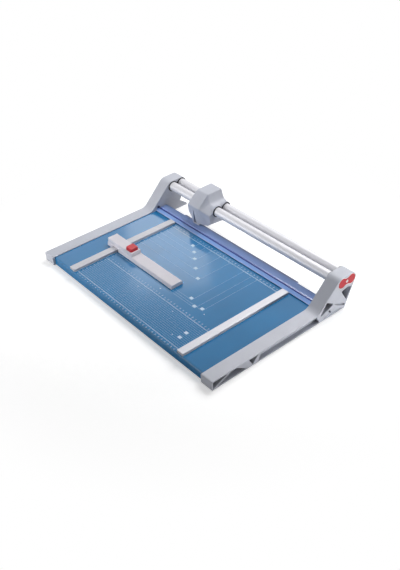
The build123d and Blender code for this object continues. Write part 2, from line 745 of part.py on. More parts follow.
# Rails: tubes seated in both end frames
rail_half = INNER_Y + SOCKET_DEPTH - RAIL_END_GAP
for name, rail_x in (("front_rail", FRONT_RAIL_X), ("rear_rail", REAR_RAIL_X)):
    with BuildPart() as rail:
        with BuildSketch(Plane.XZ):
            with Locations((rail_x, RAIL_Z)):
                Circle(RAIL_RADIUS)
                Circle(RAIL_RADIUS - RAIL_WALL, mode=Mode.SUBTRACT)
        extrude(amount=rail_half, both=True)
    rail.part.label = name
    export_step(rail.part, f"parts/{name}.step")

# Rail plugs: threaded inserts in the tubes' ends
bolt_length = FRAME_WIDTH - CAP_THICKNESS - BOLT_HEAD_HEIGHT - SOCKET_DEPTH + PLUG_LENGTH - BOLT_END_GAP
bolt_seat = OUTER_Y - CAP_THICKNESS - BOLT_HEAD_HEIGHT
with BuildPart() as rail_plugs:
    with BuildSketch(Plane.XZ.offset(rail_half)):
        with Locations(*RAIL_POINTS):
            Circle(RAIL_RADIUS - RAIL_WALL - PLUG_CLEARANCE)
            Circle(BOLT_RADIUS + SCREW_FIT, mode=Mode.SUBTRACT)
    extrude(amount=-PLUG_LENGTH)
    mirror(about=Plane.XZ)
rail_plugs.part.label = "rail_plugs"
export_step(rail_plugs.part, "parts/rail_plugs.step")

with BuildPart() as rail_bolts:
    with BuildSketch(Plane.XZ.offset(bolt_seat)):
        with Locations(*RAIL_POINTS):
            RegularPolygon(BOLT_HEAD_RADIUS, 6)
    extrude(amount=BOLT_HEAD_HEIGHT)
    with BuildSketch(Plane.XZ.offset(bolt_seat)):
        with Locations(*RAIL_POINTS):
            Circle(BOLT_RADIUS)
    extrude(amount=-bolt_length)
    mirror(about=Plane.XZ)
rail_bolts.part.label = "rail_bolts"
export_step(rail_bolts.part, "parts/rail_bolts.step")

# Red covers over the rail bolts, each with a seat for its pin
with BuildPart() as near_cap:
    extrude(cap_outline(0), amount=-CAP_THICKNESS)
    chamfer(near_cap.faces().sort_by(Axis.Y)[0].edges(), CAP_EDGE)
    with BuildSketch(Plane.XZ.offset(OUTER_Y)):
        with Locations((RAIL_MID_X, RAIL_Z)):
            Circle(PIN_HEAD_RADIUS + PIN_FIT)
    extrude(amount=-PIN_HEAD_HEIGHT, mode=Mode.SUBTRACT)
    with BuildSketch(Plane.XZ.offset(OUTER_Y)):
        with Locations((RAIL_MID_X, RAIL_Z)):
            Circle(PIN_RADIUS + PIN_FIT)
    extrude(amount=-CAP_THICKNESS, mode=Mode.SUBTRACT)
near_cap.part.label = "near_cap"
export_step(near_cap.part, "parts/near_cap.step")

with BuildPart() as far_cap:
    mirror(near_cap.part, about=Plane.XZ)
far_cap.part.label = "far_cap"
export_step(far_cap.part, "parts/far_cap.step")

# Pale rims round the red covers, and the pins through their waists
with BuildPart() as cap_rims:
    extrude(cap_outline(CAP_CLEARANCE + RIM_WIDTH), amount=-CAP_THICKNESS)
    extrude(cap_outline(CAP_CLEARANCE), amount=-CAP_THICKNESS, mode=Mode.SUBTRACT)
    chamfer(cap_rims.faces().sort_by(Axis.Y)[0].edges(), RIM_EDGE)
    mirror(about=Plane.XZ)
cap_rims.part.label = "cap_rims"
export_step(cap_rims.part, "parts/cap_rims.step")

with BuildPart() as cap_pins:
    with BuildSketch(Plane.XZ.offset(OUTER_Y)):
        with Locations((RAIL_MID_X, RAIL_Z)):
            Circle(PIN_HEAD_RADIUS)
    extrude(amount=-PIN_HEAD_HEIGHT)
    with BuildSketch(Plane.XZ.offset(OUTER_Y)):
        with Locations((RAIL_MID_X, RAIL_Z)):
            Circle(PIN_RADIUS)
    extrude(amount=-(CAP_THICKNESS + PIN_BITE))
    mirror(about=Plane.XZ)
cap_pins.part.label = "cap_pins"
export_step(cap_pins.part, "parts/cap_pins.step")

# Dark rings where the rails enter the end frames
with BuildPart() as frame_seals:
    with BuildSketch(Plane.XZ.offset(INNER_Y)):
        figure_eight(SEAL_RADIUS, SEAL_NECK)
        with Locations(*RAIL_POINTS):
            Circle(RAIL_RADIUS + SEAL_CLEARANCE, mode=Mode.SUBTRACT)
    extrude(amount=-SEAL_THICKNESS)
    mirror(about=Plane.XZ)
frame_seals.part.label = "frame_seals"
export_step(frame_seals.part, "parts/frame_seals.step")

# Rulers: extruded bars with a groove along each side
groove_low = BOARD_TOP + RULER_GROOVE_Z
groove_high = groove_low + RULER_GROOVE_HEIGHT
for name, side in (("near_ruler", -1), ("far_ruler", 1)):
    ruler_screw_ends = [(x, side * RULER_Y) for x in ruler_screw_xs]
    with BuildPart() as ruler:
        with BuildSketch(Plane.YZ.offset(RULER_FRONT)) as section:
            with Locations((side * RULER_Y, BOARD_TOP + RULER_HEIGHT / 2)):
                Rectangle(RULER_WIDTH, RULER_HEIGHT)
            chamfer(section.vertices().group_by(Axis.Y)[-1], RULER_EDGE)
            for flank in (-1, 1):
                with Locations((side * RULER_Y + flank * RULER_WIDTH / 2, (groove_low + groove_high) / 2)):
                    Rectangle(2 * RULER_GROOVE, RULER_GROOVE_HEIGHT, mode=Mode.SUBTRACT)
        extrude(amount=RULER_LENGTH)
        with BuildSketch(Plane.XY.offset(BOARD_TOP)):
            with Locations(*ruler_screw_ends):
                Circle(SCREW_RADIUS + SCREW_FIT)
        extrude(amount=RULER_SCREW_BITE + SCREW_FIT, mode=Mode.SUBTRACT)
    ruler.part.label = name
    export_step(ruler.part, f"parts/{name}.step")

# Clamp strip: sloped inner edge, a groove, a raised back and a lip over the cutting length
clamp_low = BOARD_TOP + CLAMP_LIFT
clamp_inner = CUT_X - CLAMP_REACH
clamp_outer = CUT_X - CLAMP_KNIFE_GAP - CLAMP_LIP
clamp_top = clamp_low + CLAMP_HEIGHT
clamp_half = INNER_Y - CLAMP_END_GAP
slope_end = clamp_inner + CLAMP_SLOPE_RUN
groove_end = slope_end + CLAMP_GROOVE_WIDTH
slope_top = clamp_low + CLAMP_SLOPE_HEIGHT
with BuildPart() as clamp_strip:
    with BuildSketch(Plane.XZ):
        with BuildLine():
            Polyline(
                (clamp_inner, clamp_low),
                (clamp_inner, clamp_low + CLAMP_EDGE),
                (slope_end, slope_top),
                (slope_end + CLAMP_GROOVE_DEPTH, slope_top - CLAMP_GROOVE_DEPTH),
                (groove_end, slope_top - CLAMP_GROOVE_DEPTH),
                (groove_end + CLAMP_STEP, clamp_top),
                (clamp_outer, clamp_top),
                (clamp_outer, clamp_low),
                close=True,
            )
        make_face()
    extrude(amount=clamp_half, both=True)
    with BuildSketch(Plane.XZ):
        with Locations((clamp_outer + CLAMP_LIP / 2, clamp_top - CLAMP_LIP_THICKNESS / 2)):
            Rectangle(CLAMP_LIP, CLAMP_LIP_THICKNESS)
    extrude(amount=CUT_LENGTH / 2 + CLAMP_LIP_OVERRUN, both=True)
    with BuildSketch(Plane.XZ.offset(clamp_half)):
        with Locations((tab_front + TAB_WIDTH / 2, clamp_low + TAB_HEIGHT / 2)):
            Rectangle(TAB_WIDTH, TAB_HEIGHT)
    extrude(amount=TAB_LENGTH)
    with BuildSketch(Plane.XZ.offset(-clamp_half)):
        with Locations((tab_front + TAB_WIDTH / 2, clamp_low + TAB_HEIGHT / 2)):
            Rectangle(TAB_WIDTH, TAB_HEIGHT)
    extrude(amount=-TAB_LENGTH)
clamp_strip.part.label = "clamp_strip"
export_step(clamp_strip.part, "parts/clamp_strip.step")

# Clamp springs: bowed leaves between the knife and the strip's ends
leaf_middle = CUT_X - KNIFE_WIDTH / 2
leaf_y = clamp_half - LEAF_INSET
with BuildPart() as clamp_springs:
    with BuildSketch(Plane.YZ.offset(leaf_middle - LEAF_WIDTH / 2)):
        with BuildLine():
            lower = ThreePointArc(
                (leaf_y - LEAF_LENGTH / 2, BOARD_TOP),
                (leaf_y, clamp_low - LEAF_THICKNESS),
                (leaf_y + LEAF_LENGTH / 2, BOARD_TOP),
            )
            upper = ThreePointArc(
                (leaf_y - LEAF_LENGTH / 2, BOARD_TOP + LEAF_THICKNESS),
                (leaf_y, clamp_low),
                (leaf_y + LEAF_LENGTH / 2, BOARD_TOP + LEAF_THICKNESS),
            )
            Line(lower @ 0, upper @ 0)
            Line(lower @ 1, upper @ 1)
        make_face()
    extrude(amount=LEAF_WIDTH)
    mirror(about=Plane.XZ)
clamp_springs.part.label = "clamp_springs"
export_step(clamp_springs.part, "parts/clamp_springs.step")

# Cutting head: one housing lofted through sections along the rails
head_floor = clamp_top + SHOE_GAP + HEAD_FLOOR_GAP
head_ends = ((-1, HEAD_NEAR[-1]), (1, HEAD_FAR[-1]))
axle_z = BOARD_TOP - BLADE_OVERLAP + BLADE_RADIUS
blade_x = CUT_X + BLADE_SIDE_GAP
hub_end = blade_x + BLADE_THICKNESS + HUB_LENGTH
carrier_x = hub_end + WASHER_GAP + WASHER_HEIGHT
carrier_back = carrier_x + CARRIER_THICKNESS
carrier_top = RAIL_Z - RAIL_RADIUS - RAIL_PASSAGE - RAIL_WEB
plate_front = blade_x + BLADE_THICKNESS + BLADE_BACK_ROOM
plate_back = REAR_RAIL_X - TAIL_SETBACK
plate_top = head_floor + TAIL_RISE[0] + PLATE_THICKNESS


def head_section(i):
    """Corner points of the housing's section at one station, in the XZ plane."""
    floor = head_floor + FLOOR_RISE[i]
    return (
        (FRONT_RAIL_X - TOP_FRONT[i], RAIL_Z + TOP_RISE[i]),
        (REAR_RAIL_X + TOP_REAR[i], RAIL_Z + TOP_RISE[i]),
        (REAR_RAIL_X + REAR_REACH, RAIL_Z + REAR_RISE[i]),
        (REAR_RAIL_X + REAR_REACH, RAIL_Z - REAR_LOWER),
        (REAR_RAIL_X - TAIL_SETBACK, head_floor + TAIL_RISE[i]),
        (CUT_X - NOSE_REACH[i], floor),
        (CUT_X - RIDGE_REACH[i], RAIL_Z + RIDGE_RISE[i]),
    )


near_stations = [(i, -reach) for i, reach in enumerate(HEAD_NEAR)]
stations = near_stations[:0:-1] + list(enumerate(HEAD_FAR))
head_radii = [BROW_ROUND] + [HEAD_ROUND] * 6
with BuildPart() as head_housing:
    for i, offset_y in stations:
        with BuildSketch(Plane.XZ.offset(-(HEAD_REST + offset_y))):
            with BuildLine():
                FilletPolyline(*head_section(i), radius=head_radii, close=True)
            make_face()
    loft(ruled=True)
    # Sleeves round the rails at both ends
    for side, reach in head_ends:
        with BuildSketch(Plane.XZ.offset(-(HEAD_REST + side * reach))):
            with Locations(*RAIL_POINTS):
                Circle(SLEEVE_RADIUS)
        extrude(amount=side * SLEEVE_LENGTH)
    # Rail passages, with wider seats for the bushes at both ends
    with BuildSketch(Plane.XZ.offset(-HEAD_REST)):
        with Locations(*RAIL_POINTS):
            Circle(RAIL_RADIUS + RAIL_PASSAGE)
    extrude(amount=HEAD_NEAR[-1], both=True, mode=Mode.SUBTRACT)
    for side, reach in head_ends:
        with BuildSketch(Plane.XZ.offset(-(HEAD_REST + side * reach))):
            with Locations(*RAIL_POINTS):
                Circle(RAIL_RADIUS + BUSH_FIT + BUSH_WALL + BUSH_SEAT)
        extrude(amount=side * BUSH_LENGTH, mode=Mode.SUBTRACT)
    # Room for the blade, its hub and its carrier, open below
    with BuildSketch(Plane.YZ.offset(CUT_X - BLADE_FRONT_ROOM)):
        with Locations((HEAD_REST, axle_z)):
            Circle(BLADE_RADIUS + BLADE_ROOM)
    extrude(amount=plate_front - CUT_X + BLADE_FRONT_ROOM, mode=Mode.SUBTRACT)
    with BuildSketch(Plane.XY.offset(carrier_top)):
        room_half = CARRIER_HALF + CARRIER_ROOM
        room_back = carrier_back + CARRIER_BACK_ROOM
        with Locations(((plate_front + room_back) / 2, HEAD_REST)):
            Rectangle(room_back - plate_front, 2 * room_half)
    extrude(amount=-carrier_top, mode=Mode.SUBTRACT)
    # Seat of the base plate, with its screw holes
    with BuildSketch(Plane.XY.offset(plate_top)):
        with Locations(((plate_front + plate_back) / 2, HEAD_REST)):
            Rectangle(plate_back - plate_front, 2 * PLATE_HALF)
    extrude(amount=-plate_top, mode=Mode.SUBTRACT)
    head_screw_points = [
        (x, HEAD_REST + y)
        for x in (plate_front + HEAD_SCREW_INSET, plate_back - HEAD_SCREW_INSET)
        for y in (HEAD_SCREW_INSET - PLATE_HALF, PLATE_HALF - HEAD_SCREW_INSET)
    ]
    with BuildSketch(Plane.XY.offset(plate_top)):
        with Locations(*head_screw_points):
            Circle(HEAD_SCREW_RADIUS + SCREW_FIT)
    extrude(amount=HEAD_SCREW_LENGTH - PLATE_THICKNESS + SCREW_FIT, mode=Mode.SUBTRACT)
    # Sight slot that widens towards the cut
    with BuildSketch(Plane.YZ.offset(CUT_X - BLADE_FRONT_ROOM)):
        with BuildLine():
            Polyline(
                (HEAD_REST, RAIL_Z + SIGHT_RISE),
                (HEAD_REST - SIGHT_WIDTH / 2, head_floor - HEAD_ROUND),
                (HEAD_REST + SIGHT_WIDTH / 2, head_floor - HEAD_ROUND),
                close=True,
            )
        make_face()
    extrude(amount=-(RIDGE_REACH[0] + HEAD_ROUND), mode=Mode.SUBTRACT)
head_housing.part.label = "head_housing"
export_step(head_housing.part, "parts/head_housing.step")

# Base plate that closes the housing from below
with BuildPart() as head_base:
    with BuildSketch(Plane.XY.offset(plate_top - PLATE_THICKNESS)):
        with Locations(((plate_front + plate_back) / 2, HEAD_REST)):
            Rectangle(plate_back - plate_front - 2 * PLATE_FIT, 2 * (PLATE_HALF - PLATE_FIT))
        with Locations((plate_front, HEAD_REST)):
            hub_window = 2 * (hub_end - plate_front + BLADE_ROOM)
            Rectangle(hub_window, 2 * (HUB_RADIUS + BLADE_ROOM), mode=Mode.SUBTRACT)
        with Locations(*head_screw_points):
            Circle(HEAD_SCREW_RADIUS + SCREW_FIT, mode=Mode.SUBTRACT)
    extrude(amount=PLATE_THICKNESS)
head_base.part.label = "head_base"
export_step(head_base.part, "parts/head_base.step")

head_screws = pan_screws(
    head_screw_points,
    plate_top - PLATE_THICKNESS,
    HEAD_SCREW_LENGTH,
    HEAD_SCREW_HEAD,
    HEAD_SCREW_HEAD_HEIGHT,
    HEAD_SCREW_RADIUS,
)
head_screws.label = "head_screws"
export_step(head_screws, "parts/head_screws.step")

# Bushes: plain bearings at both ends of the head, on both rails
with BuildPart() as rail_bushes:
    for side, reach in head_ends:
        with BuildSketch(Plane.XZ.offset(-(HEAD_REST + side * reach))):
            with Locations(*RAIL_POINTS):
                Circle(RAIL_RADIUS + BUSH_FIT + BUSH_WALL)
                Circle(RAIL_RADIUS + BUSH_FIT, mode=Mode.SUBTRACT)
        extrude(amount=side * BUSH_LENGTH)
rail_bushes.part.label = "rail_bushes"
export_step(rail_bushes.part, "parts/rail_bushes.step")

# Wiper rings at both ends of the head
with BuildPart() as head_seals:
    for side, reach in head_ends:
        with BuildSketch(Plane.XZ.offset(-(HEAD_REST + side * reach))):
            figure_eight(SEAL_RADIUS, SEAL_NECK)
            with Locations(*RAIL_POINTS):
                Circle(RAIL_RADIUS + SEAL_CLEARANCE, mode=Mode.SUBTRACT)
        extrude(amount=-side * SEAL_THICKNESS)
head_seals.part.label = "head_seals"
export_step(head_seals.part, "parts/head_seals.step")

# Press shoe: glide sled under the nose, over the clamp strip
shoe_low = clamp_top + SHOE_GAP
with BuildPart() as press_shoe:
    with BuildSketch(Plane.YZ.offset(CUT_X - SHOE_INSET)):
        with BuildLine():
            Polyline(
                (HEAD_REST - SHOE_HALF, head_floor),
                (HEAD_REST - SHOE_HALF, shoe_low + SHOE_TOE),
                (HEAD_REST - SHOE_HALF + SHOE_TOE, shoe_low),
                (HEAD_REST + SHOE_HALF - SHOE_TOE, shoe_low),
                (HEAD_REST + SHOE_HALF, shoe_low + SHOE_TOE),
                (HEAD_REST + SHOE_HALF, head_floor),
                close=True,
            )
        make_face()
    extrude(amount=-SHOE_WIDTH)
press_shoe.part.label = "press_shoe"
export_step(press_shoe.part, "parts/press_shoe.step")

# Rotary blade: disc with a one-sided bevel, turned about its axle
with BuildPart() as rotary_blade:
    with BuildSketch(Plane.XY):
        with BuildLine():
            Polyline(
                (blade_x, axle_z + AXLE_RADIUS + AXLE_FIT),
                (blade_x, axle_z + BLADE_RADIUS),
                (blade_x + BLADE_THICKNESS, axle_z + BLADE_RADIUS - BLADE_BEVEL),
                (blade_x + BLADE_THICKNESS, axle_z + AXLE_RADIUS + AXLE_FIT),
                close=True,
            )
        make_face()
    revolve(axis=Axis((0, axle_z, 0), (1, 0, 0)))
rotary_blade.part = rotary_blade.part.moved(Location((0, HEAD_REST - axle_z, axle_z)))
rotary_blade.part.label = "rotary_blade"
export_step(rotary_blade.part, "parts/rotary_blade.step")

# Hub: stepped bearing boss behind the blade
with BuildPart() as blade_hub:
    with BuildSketch(Plane.YZ.offset(blade_x + BLADE_THICKNESS)):
        with Locations((HEAD_REST, axle_z)):
            Circle(HUB_RADIUS)
            Circle(AXLE_RADIUS + AXLE_FIT, mode=Mode.SUBTRACT)
    extrude(amount=HUB_LENGTH / 2)
    with BuildSketch(Plane.YZ.offset(blade_x + BLADE_THICKNESS + HUB_LENGTH / 2)):
        with Locations((HEAD_REST, axle_z)):
            Circle(HUB_BOSS)
            Circle(AXLE_RADIUS + AXLE_FIT, mode=Mode.SUBTRACT)
    extrude(amount=HUB_LENGTH / 2)
blade_hub.part.label = "blade_hub"
export_step(blade_hub.part, "parts/blade_hub.step")

# Axle with its retaining head in front of the blade
axle_front = blade_x - AXLE_HEAD_GAP
with BuildPart() as blade_axle:
    with BuildSketch(Plane.YZ.offset(axle_front)):
        with Locations((HEAD_REST, axle_z)):
            Circle(AXLE_HEAD_RADIUS)
    extrude(amount=-AXLE_HEAD_HEIGHT)
    with BuildSketch(Plane.YZ.offset(axle_front)):
        with Locations((HEAD_REST, axle_z)):
            Circle(AXLE_RADIUS)
    extrude(amount=carrier_back - axle_front)
blade_axle.part.label = "blade_axle"
export_step(blade_axle.part, "parts/blade_axle.step")

# Spring washer that presses the blade against the knife
with BuildPart() as spring_washer:
    with BuildSketch(Plane.YZ.offset(carrier_x - WASHER_HEIGHT)):
        with Locations((HEAD_REST, axle_z)):
            Circle(HUB_BOSS)
    with BuildSketch(Plane.YZ.offset(carrier_x)):
        with Locations((HEAD_REST, axle_z)):
            Circle(WASHER_RADIUS)
    loft()
    with BuildSketch(Plane.YZ.offset(carrier_x - WASHER_HEIGHT)):
        with Locations((HEAD_REST, axle_z)):
            Circle(AXLE_RADIUS + WASHER_BORE_GAP)
    with BuildSketch(Plane.YZ.offset(carrier_x)):
        with Locations((HEAD_REST, axle_z)):
            Circle(WASHER_RADIUS - WASHER_THICKNESS)
    loft(mode=Mode.SUBTRACT)
spring_washer.part.label = "spring_washer"
export_step(spring_washer.part, "parts/spring_washer.step")

# Carrier block that holds the axle under the front rail
with BuildPart() as blade_carrier:
    with BuildSketch(Plane.YZ.offset(carrier_x)):
        with Locations((HEAD_REST, (plate_top + carrier_top) / 2)):
            Rectangle(2 * CARRIER_HALF, carrier_top - plate_top)
        with Locations((HEAD_REST, axle_z)):
            Circle(AXLE_RADIUS + BUSH_SEAT, mode=Mode.SUBTRACT)
    extrude(amount=CARRIER_THICKNESS)
blade_carrier.part.label = "blade_carrier"
export_step(blade_carrier.part, "parts/blade_carrier.step")

# Back stop: block over the far ruler and a long arm across the table
stop_middle = FRAME_TIP + STOP_REST
stop_far = RULER_Y + RULER_WIDTH / 2 + STOP_OVERHANG
stop_near = stop_far - STOP_LENGTH
step_y = stop_far - STOP_BLOCK
stop_low = BOARD_TOP + STOP_GAP
block_top = stop_low + STOP_BLOCK_HEIGHT
arm_top = stop_low + STOP_ARM_HEIGHT
tunnel_near = RULER_Y - RULER_WIDTH / 2 - STOP_GAP
tunnel_far = RULER_Y + RULER_WIDTH / 2 + STOP_GAP
room_near = step_y + STOP_WALL
room_far = tunnel_near - TUNNEL_WALL
room_inner = STOP_WIDTH - 2 * STOP_WALL - 2 * BLOCK_INSET
button_y = step_y + BUTTON_INSET + BUTTON_LENGTH / 2
block_half = STOP_WIDTH / 2 - STOP_SIDE_LEAN - BLOCK_STEP
with BuildPart() as stop_body:
    with BuildSketch(Plane.XZ.offset(-stop_near)) as arm_section:
        with BuildLine():
            Polyline(
                (stop_middle - STOP_WIDTH / 2, stop_low),
                (stop_middle - STOP_WIDTH / 2 + STOP_SIDE_LEAN, arm_top),
                (stop_middle + STOP_WIDTH / 2 - STOP_SIDE_LEAN, arm_top),
                (stop_middle + STOP_WIDTH / 2, stop_low),
                close=True,
            )
        make_face()
        fillet(arm_section.vertices().group_by(Axis.Y)[-1], STOP_ROUND)
    extrude(amount=-STOP_LENGTH)
    with BuildSketch(Plane.XZ.offset(-step_y)) as block_section:
        with BuildLine():
            Polyline(
                (stop_middle - block_half, arm_top - STOP_WALL),
                (stop_middle - STOP_WIDTH / 2 + BLOCK_INSET, block_top),
                (stop_middle + STOP_WIDTH / 2 - BLOCK_INSET, block_top),
                (stop_middle + block_half, arm_top - STOP_WALL),
                close=True,
            )
        make_face()
        fillet(block_section.vertices().group_by(Axis.Y)[-1], STOP_STEP_ROUND)
    extrude(amount=-STOP_BLOCK)
    # Tunnel for the ruler
    with BuildSketch(Plane.YZ.offset(stop_middle)):
        with Locations(((tunnel_near + tunnel_far) / 2, stop_low)):
            Rectangle(tunnel_far - tunnel_near, 2 * (RULER_TOP + STOP_GAP - stop_low))
    extrude(amount=STOP_WIDTH, both=True, mode=Mode.SUBTRACT)
    # Room for the lock under the button, and the hollow of the arm
    with BuildSketch(Plane.XY.offset(stop_low)):
        with Locations((stop_middle, (room_near + room_far) / 2)):
            Rectangle(room_inner, room_far - room_near)
    extrude(amount=STOP_BLOCK_HEIGHT - STOP_WALL, mode=Mode.SUBTRACT)
    with BuildSketch(Plane.XY.offset(stop_low)):
        with Locations((stop_middle, (stop_near + step_y) / 2)):
            Rectangle(room_inner, step_y - stop_near - 2 * STOP_WALL)
    extrude(amount=STOP_ARM_HEIGHT - STOP_WALL, mode=Mode.SUBTRACT)
    # Opening for the button
    with BuildSketch(Plane.XY.offset(block_top)):
        with Locations((stop_middle, button_y)):
            RectangleRounded(
                BUTTON_WIDTH + 2 * BUTTON_GAP,
                BUTTON_LENGTH + 2 * BUTTON_GAP,
                BUTTON_CORNER + BUTTON_GAP,
            )
    extrude(amount=-STOP_WALL, mode=Mode.SUBTRACT)
    # Slit through the tunnel wall for the jaw
    with BuildSketch(Plane.XZ.offset(-room_far)):
        with Locations((stop_middle, (groove_low + groove_high) / 2)):
            Rectangle(JAW_WIDTH + 2 * FLOOR_FIT, RULER_GROOVE_HEIGHT)
    extrude(amount=-TUNNEL_WALL, mode=Mode.SUBTRACT)
stop_body.part.label = "stop_body"
export_step(stop_body.part, "parts/stop_body.step")

# Floor plate of the lock, held between the room's walls
floor_low = stop_low + FLOOR_LIFT
floor_top = floor_low + FLOOR_THICKNESS
with BuildPart() as stop_floor:
    with BuildSketch(Plane.XY.offset(floor_low)):
        with Locations((stop_middle, (room_near + room_far) / 2)):
            Rectangle(room_inner - 2 * FLOOR_FIT, room_far - room_near - 2 * FLOOR_FIT)
    extrude(amount=FLOOR_THICKNESS)
stop_floor.part.label = "stop_floor"
export_step(stop_floor.part, "parts/stop_floor.step")

# Jaw: bent tongue that reaches into the ruler's groove
jaw_middle = (groove_low + groove_high) / 2
jaw_tip = RULER_Y - RULER_WIDTH / 2 + JAW_BITE
with BuildPart() as lock_jaw:
    with BuildSketch(Plane.YZ.offset(stop_middle - JAW_WIDTH / 2)):
        with BuildLine():
            Polyline(
                (jaw_tip, jaw_middle - JAW_THICKNESS / 2),
                (jaw_tip, jaw_middle + JAW_THICKNESS / 2),
                (room_far - FLOOR_FIT, jaw_middle + JAW_THICKNESS / 2),
                (room_far - FLOOR_FIT, floor_top + JAW_LEG),
                (room_far - FLOOR_FIT - JAW_THICKNESS, floor_top + JAW_LEG),
                (room_far - FLOOR_FIT - JAW_THICKNESS, floor_top),
                (room_far - FLOOR_FIT, floor_top),
                (room_far - FLOOR_FIT, jaw_middle - JAW_THICKNESS / 2),
                close=True,
            )
        make_face()
    extrude(amount=JAW_WIDTH)
lock_jaw.part.label = "lock_jaw"
export_step(lock_jaw.part, "parts/lock_jaw.step")

# Release button with a flange that holds it under the block's top
flange_top = block_top - STOP_WALL - BUTTON_GAP / 2
button_top = block_top + BUTTON_PRESSED + BUTTON_TRAVEL
with BuildPart() as stop_button:
    with BuildSketch(Plane.XY.offset(flange_top)):
        with Locations((stop_middle, button_y)):
            RectangleRounded(BUTTON_WIDTH, BUTTON_LENGTH, BUTTON_CORNER)
    extrude(amount=button_top - flange_top, taper=BUTTON_TAPER)
    fillet(stop_button.faces().sort_by(Axis.Z)[-1].edges(), BUTTON_ROUND)
    with BuildSketch(Plane.XY.offset(flange_top)):
        with Locations((stop_middle, button_y + BUTTON_FLANGE / 2)):
            Rectangle(BUTTON_WIDTH + BUTTON_FLANGE / 2, BUTTON_LENGTH + BUTTON_FLANGE)
    extrude(amount=-BUTTON_FLANGE_HEIGHT)
stop_button.part.label = "stop_button"
export_step(stop_button.part, "parts/stop_button.step")

# Button spring: bowed leaf between the floor plate and the flange
flange_low = flange_top - BUTTON_FLANGE_HEIGHT
spring_half = BUTTON_LENGTH / 2
with BuildPart() as button_spring:
    with BuildSketch(Plane.YZ.offset(stop_middle - SPRING_WIDTH / 2)):
        with BuildLine():
            spring_lower = ThreePointArc(
                (button_y - spring_half, floor_top),
                (button_y, flange_low - SPRING_THICKNESS),
                (button_y + spring_half, floor_top),
            )
            spring_upper = ThreePointArc(
                (button_y - spring_half - SPRING_THICKNESS, floor_top),
                (button_y, flange_low),
                (button_y + spring_half + SPRING_THICKNESS, floor_top),
            )
            Line(spring_lower @ 0, spring_upper @ 0)
            Line(spring_lower @ 1, spring_upper @ 1)
        make_face()
    extrude(amount=SPRING_WIDTH)
button_spring.part.label = "button_spring"
export_step(button_spring.part, "parts/button_spring.step")
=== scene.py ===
"""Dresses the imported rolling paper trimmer: finishes, board print, springs, hood, light and camera."""

import logging
import math
from collections.abc import Iterable
from dataclasses import dataclass, field
from enum import Enum

import bmesh
import bpy
from mathutils import Matrix, Vector


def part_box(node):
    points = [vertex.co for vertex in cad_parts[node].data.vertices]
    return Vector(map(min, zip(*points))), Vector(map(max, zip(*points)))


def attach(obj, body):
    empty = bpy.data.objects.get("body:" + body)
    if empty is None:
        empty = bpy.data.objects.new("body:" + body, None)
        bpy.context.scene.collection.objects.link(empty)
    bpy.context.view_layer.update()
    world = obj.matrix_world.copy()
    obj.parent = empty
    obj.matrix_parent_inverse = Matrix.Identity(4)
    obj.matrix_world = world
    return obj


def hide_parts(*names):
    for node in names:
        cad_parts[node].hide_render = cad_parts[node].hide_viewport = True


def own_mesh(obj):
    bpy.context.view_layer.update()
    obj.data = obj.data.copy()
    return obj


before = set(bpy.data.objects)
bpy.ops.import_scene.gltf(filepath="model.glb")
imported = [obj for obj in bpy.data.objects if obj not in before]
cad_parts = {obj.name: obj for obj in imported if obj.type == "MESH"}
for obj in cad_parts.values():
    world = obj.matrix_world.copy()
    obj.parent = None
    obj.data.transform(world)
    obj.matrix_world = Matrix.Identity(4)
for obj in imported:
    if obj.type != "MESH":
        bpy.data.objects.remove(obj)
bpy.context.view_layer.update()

MM = 0.001
# Points that are closer than this become one.
WELD = 0.001 * MM
LOG = logging.getLogger("trimmer")

Colour = tuple[float, float, float, float]
Triple = tuple[float, float, float]
Pair = tuple[float, float]


def tone(red: int, green: int, blue: int) -> Colour:
    """Turns a screen colour into a linear one.

    Args:
        red: Red from 0 to 255.
        green: Green from 0 to 255.
        blue: Blue from 0 to 255.

    Returns:
        The linear colour with full alpha.
    """
    full, knee, slope, lift, power = 255, 0.04045, 12.92, 0.055, 2.4
    linear = []
    for level in (red, green, blue):
        share = level / full
        if share <= knee:
            linear.append(share / slope)
        else:
            linear.append(((share + lift) / (1 + lift)) ** power)
    return (*linear, 1.0)


def shade(colour: Colour, share: float) -> Colour:
    """Scales a colour's three channels.

    Args:
        colour: The linear colour.
        share: What each channel is multiplied by.

    Returns:
        The lighter or darker colour.
    """
    return (colour[0] * share, colour[1] * share, colour[2] * share, 1.0)


class Axis(Enum):
    """The direction in which a piece was drawn or ground, as the stretch of its pattern."""

    ALONG_X = (1.0, 60.0, 60.0)
    ALONG_Y = (60.0, 1.0, 60.0)


class Side(Enum):
    """The sides of a Map Range node: what it reads and what it gives."""

    READS = "From"
    GIVES = "To"


class Body(Enum):
    """The bodies that new pieces ride on."""

    BASE = "base"
    HEAD = "head"
    STOP = "stop"


# The Mix node's colour sockets go by number, because its other kinds share their names.
MIX_A, MIX_B, MIX_OUT = 6, 7, 2
# The rays with which a material feels for edges and recesses.
EDGE_RAYS = 8
# The part of a pattern over which the colour changes.
COLOUR_SPAN = (0.3, 0.7)


@dataclass(frozen=True)
class Pattern:
    """A noise pattern: its fineness, in spots for each metre, and how many finer layers it has."""

    fineness: float
    layers: float


def set_ends(node: bpy.types.Node, side: Side, values: Iterable[float]) -> None:
    """Sets both ends of a Map Range node on one side.

    Args:
        node: The node.
        side: The side.
        values: The lower and the upper end.
    """
    for end, value in zip(("Min", "Max"), values):
        node.inputs[f"{side.value} {end}"].default_value = value


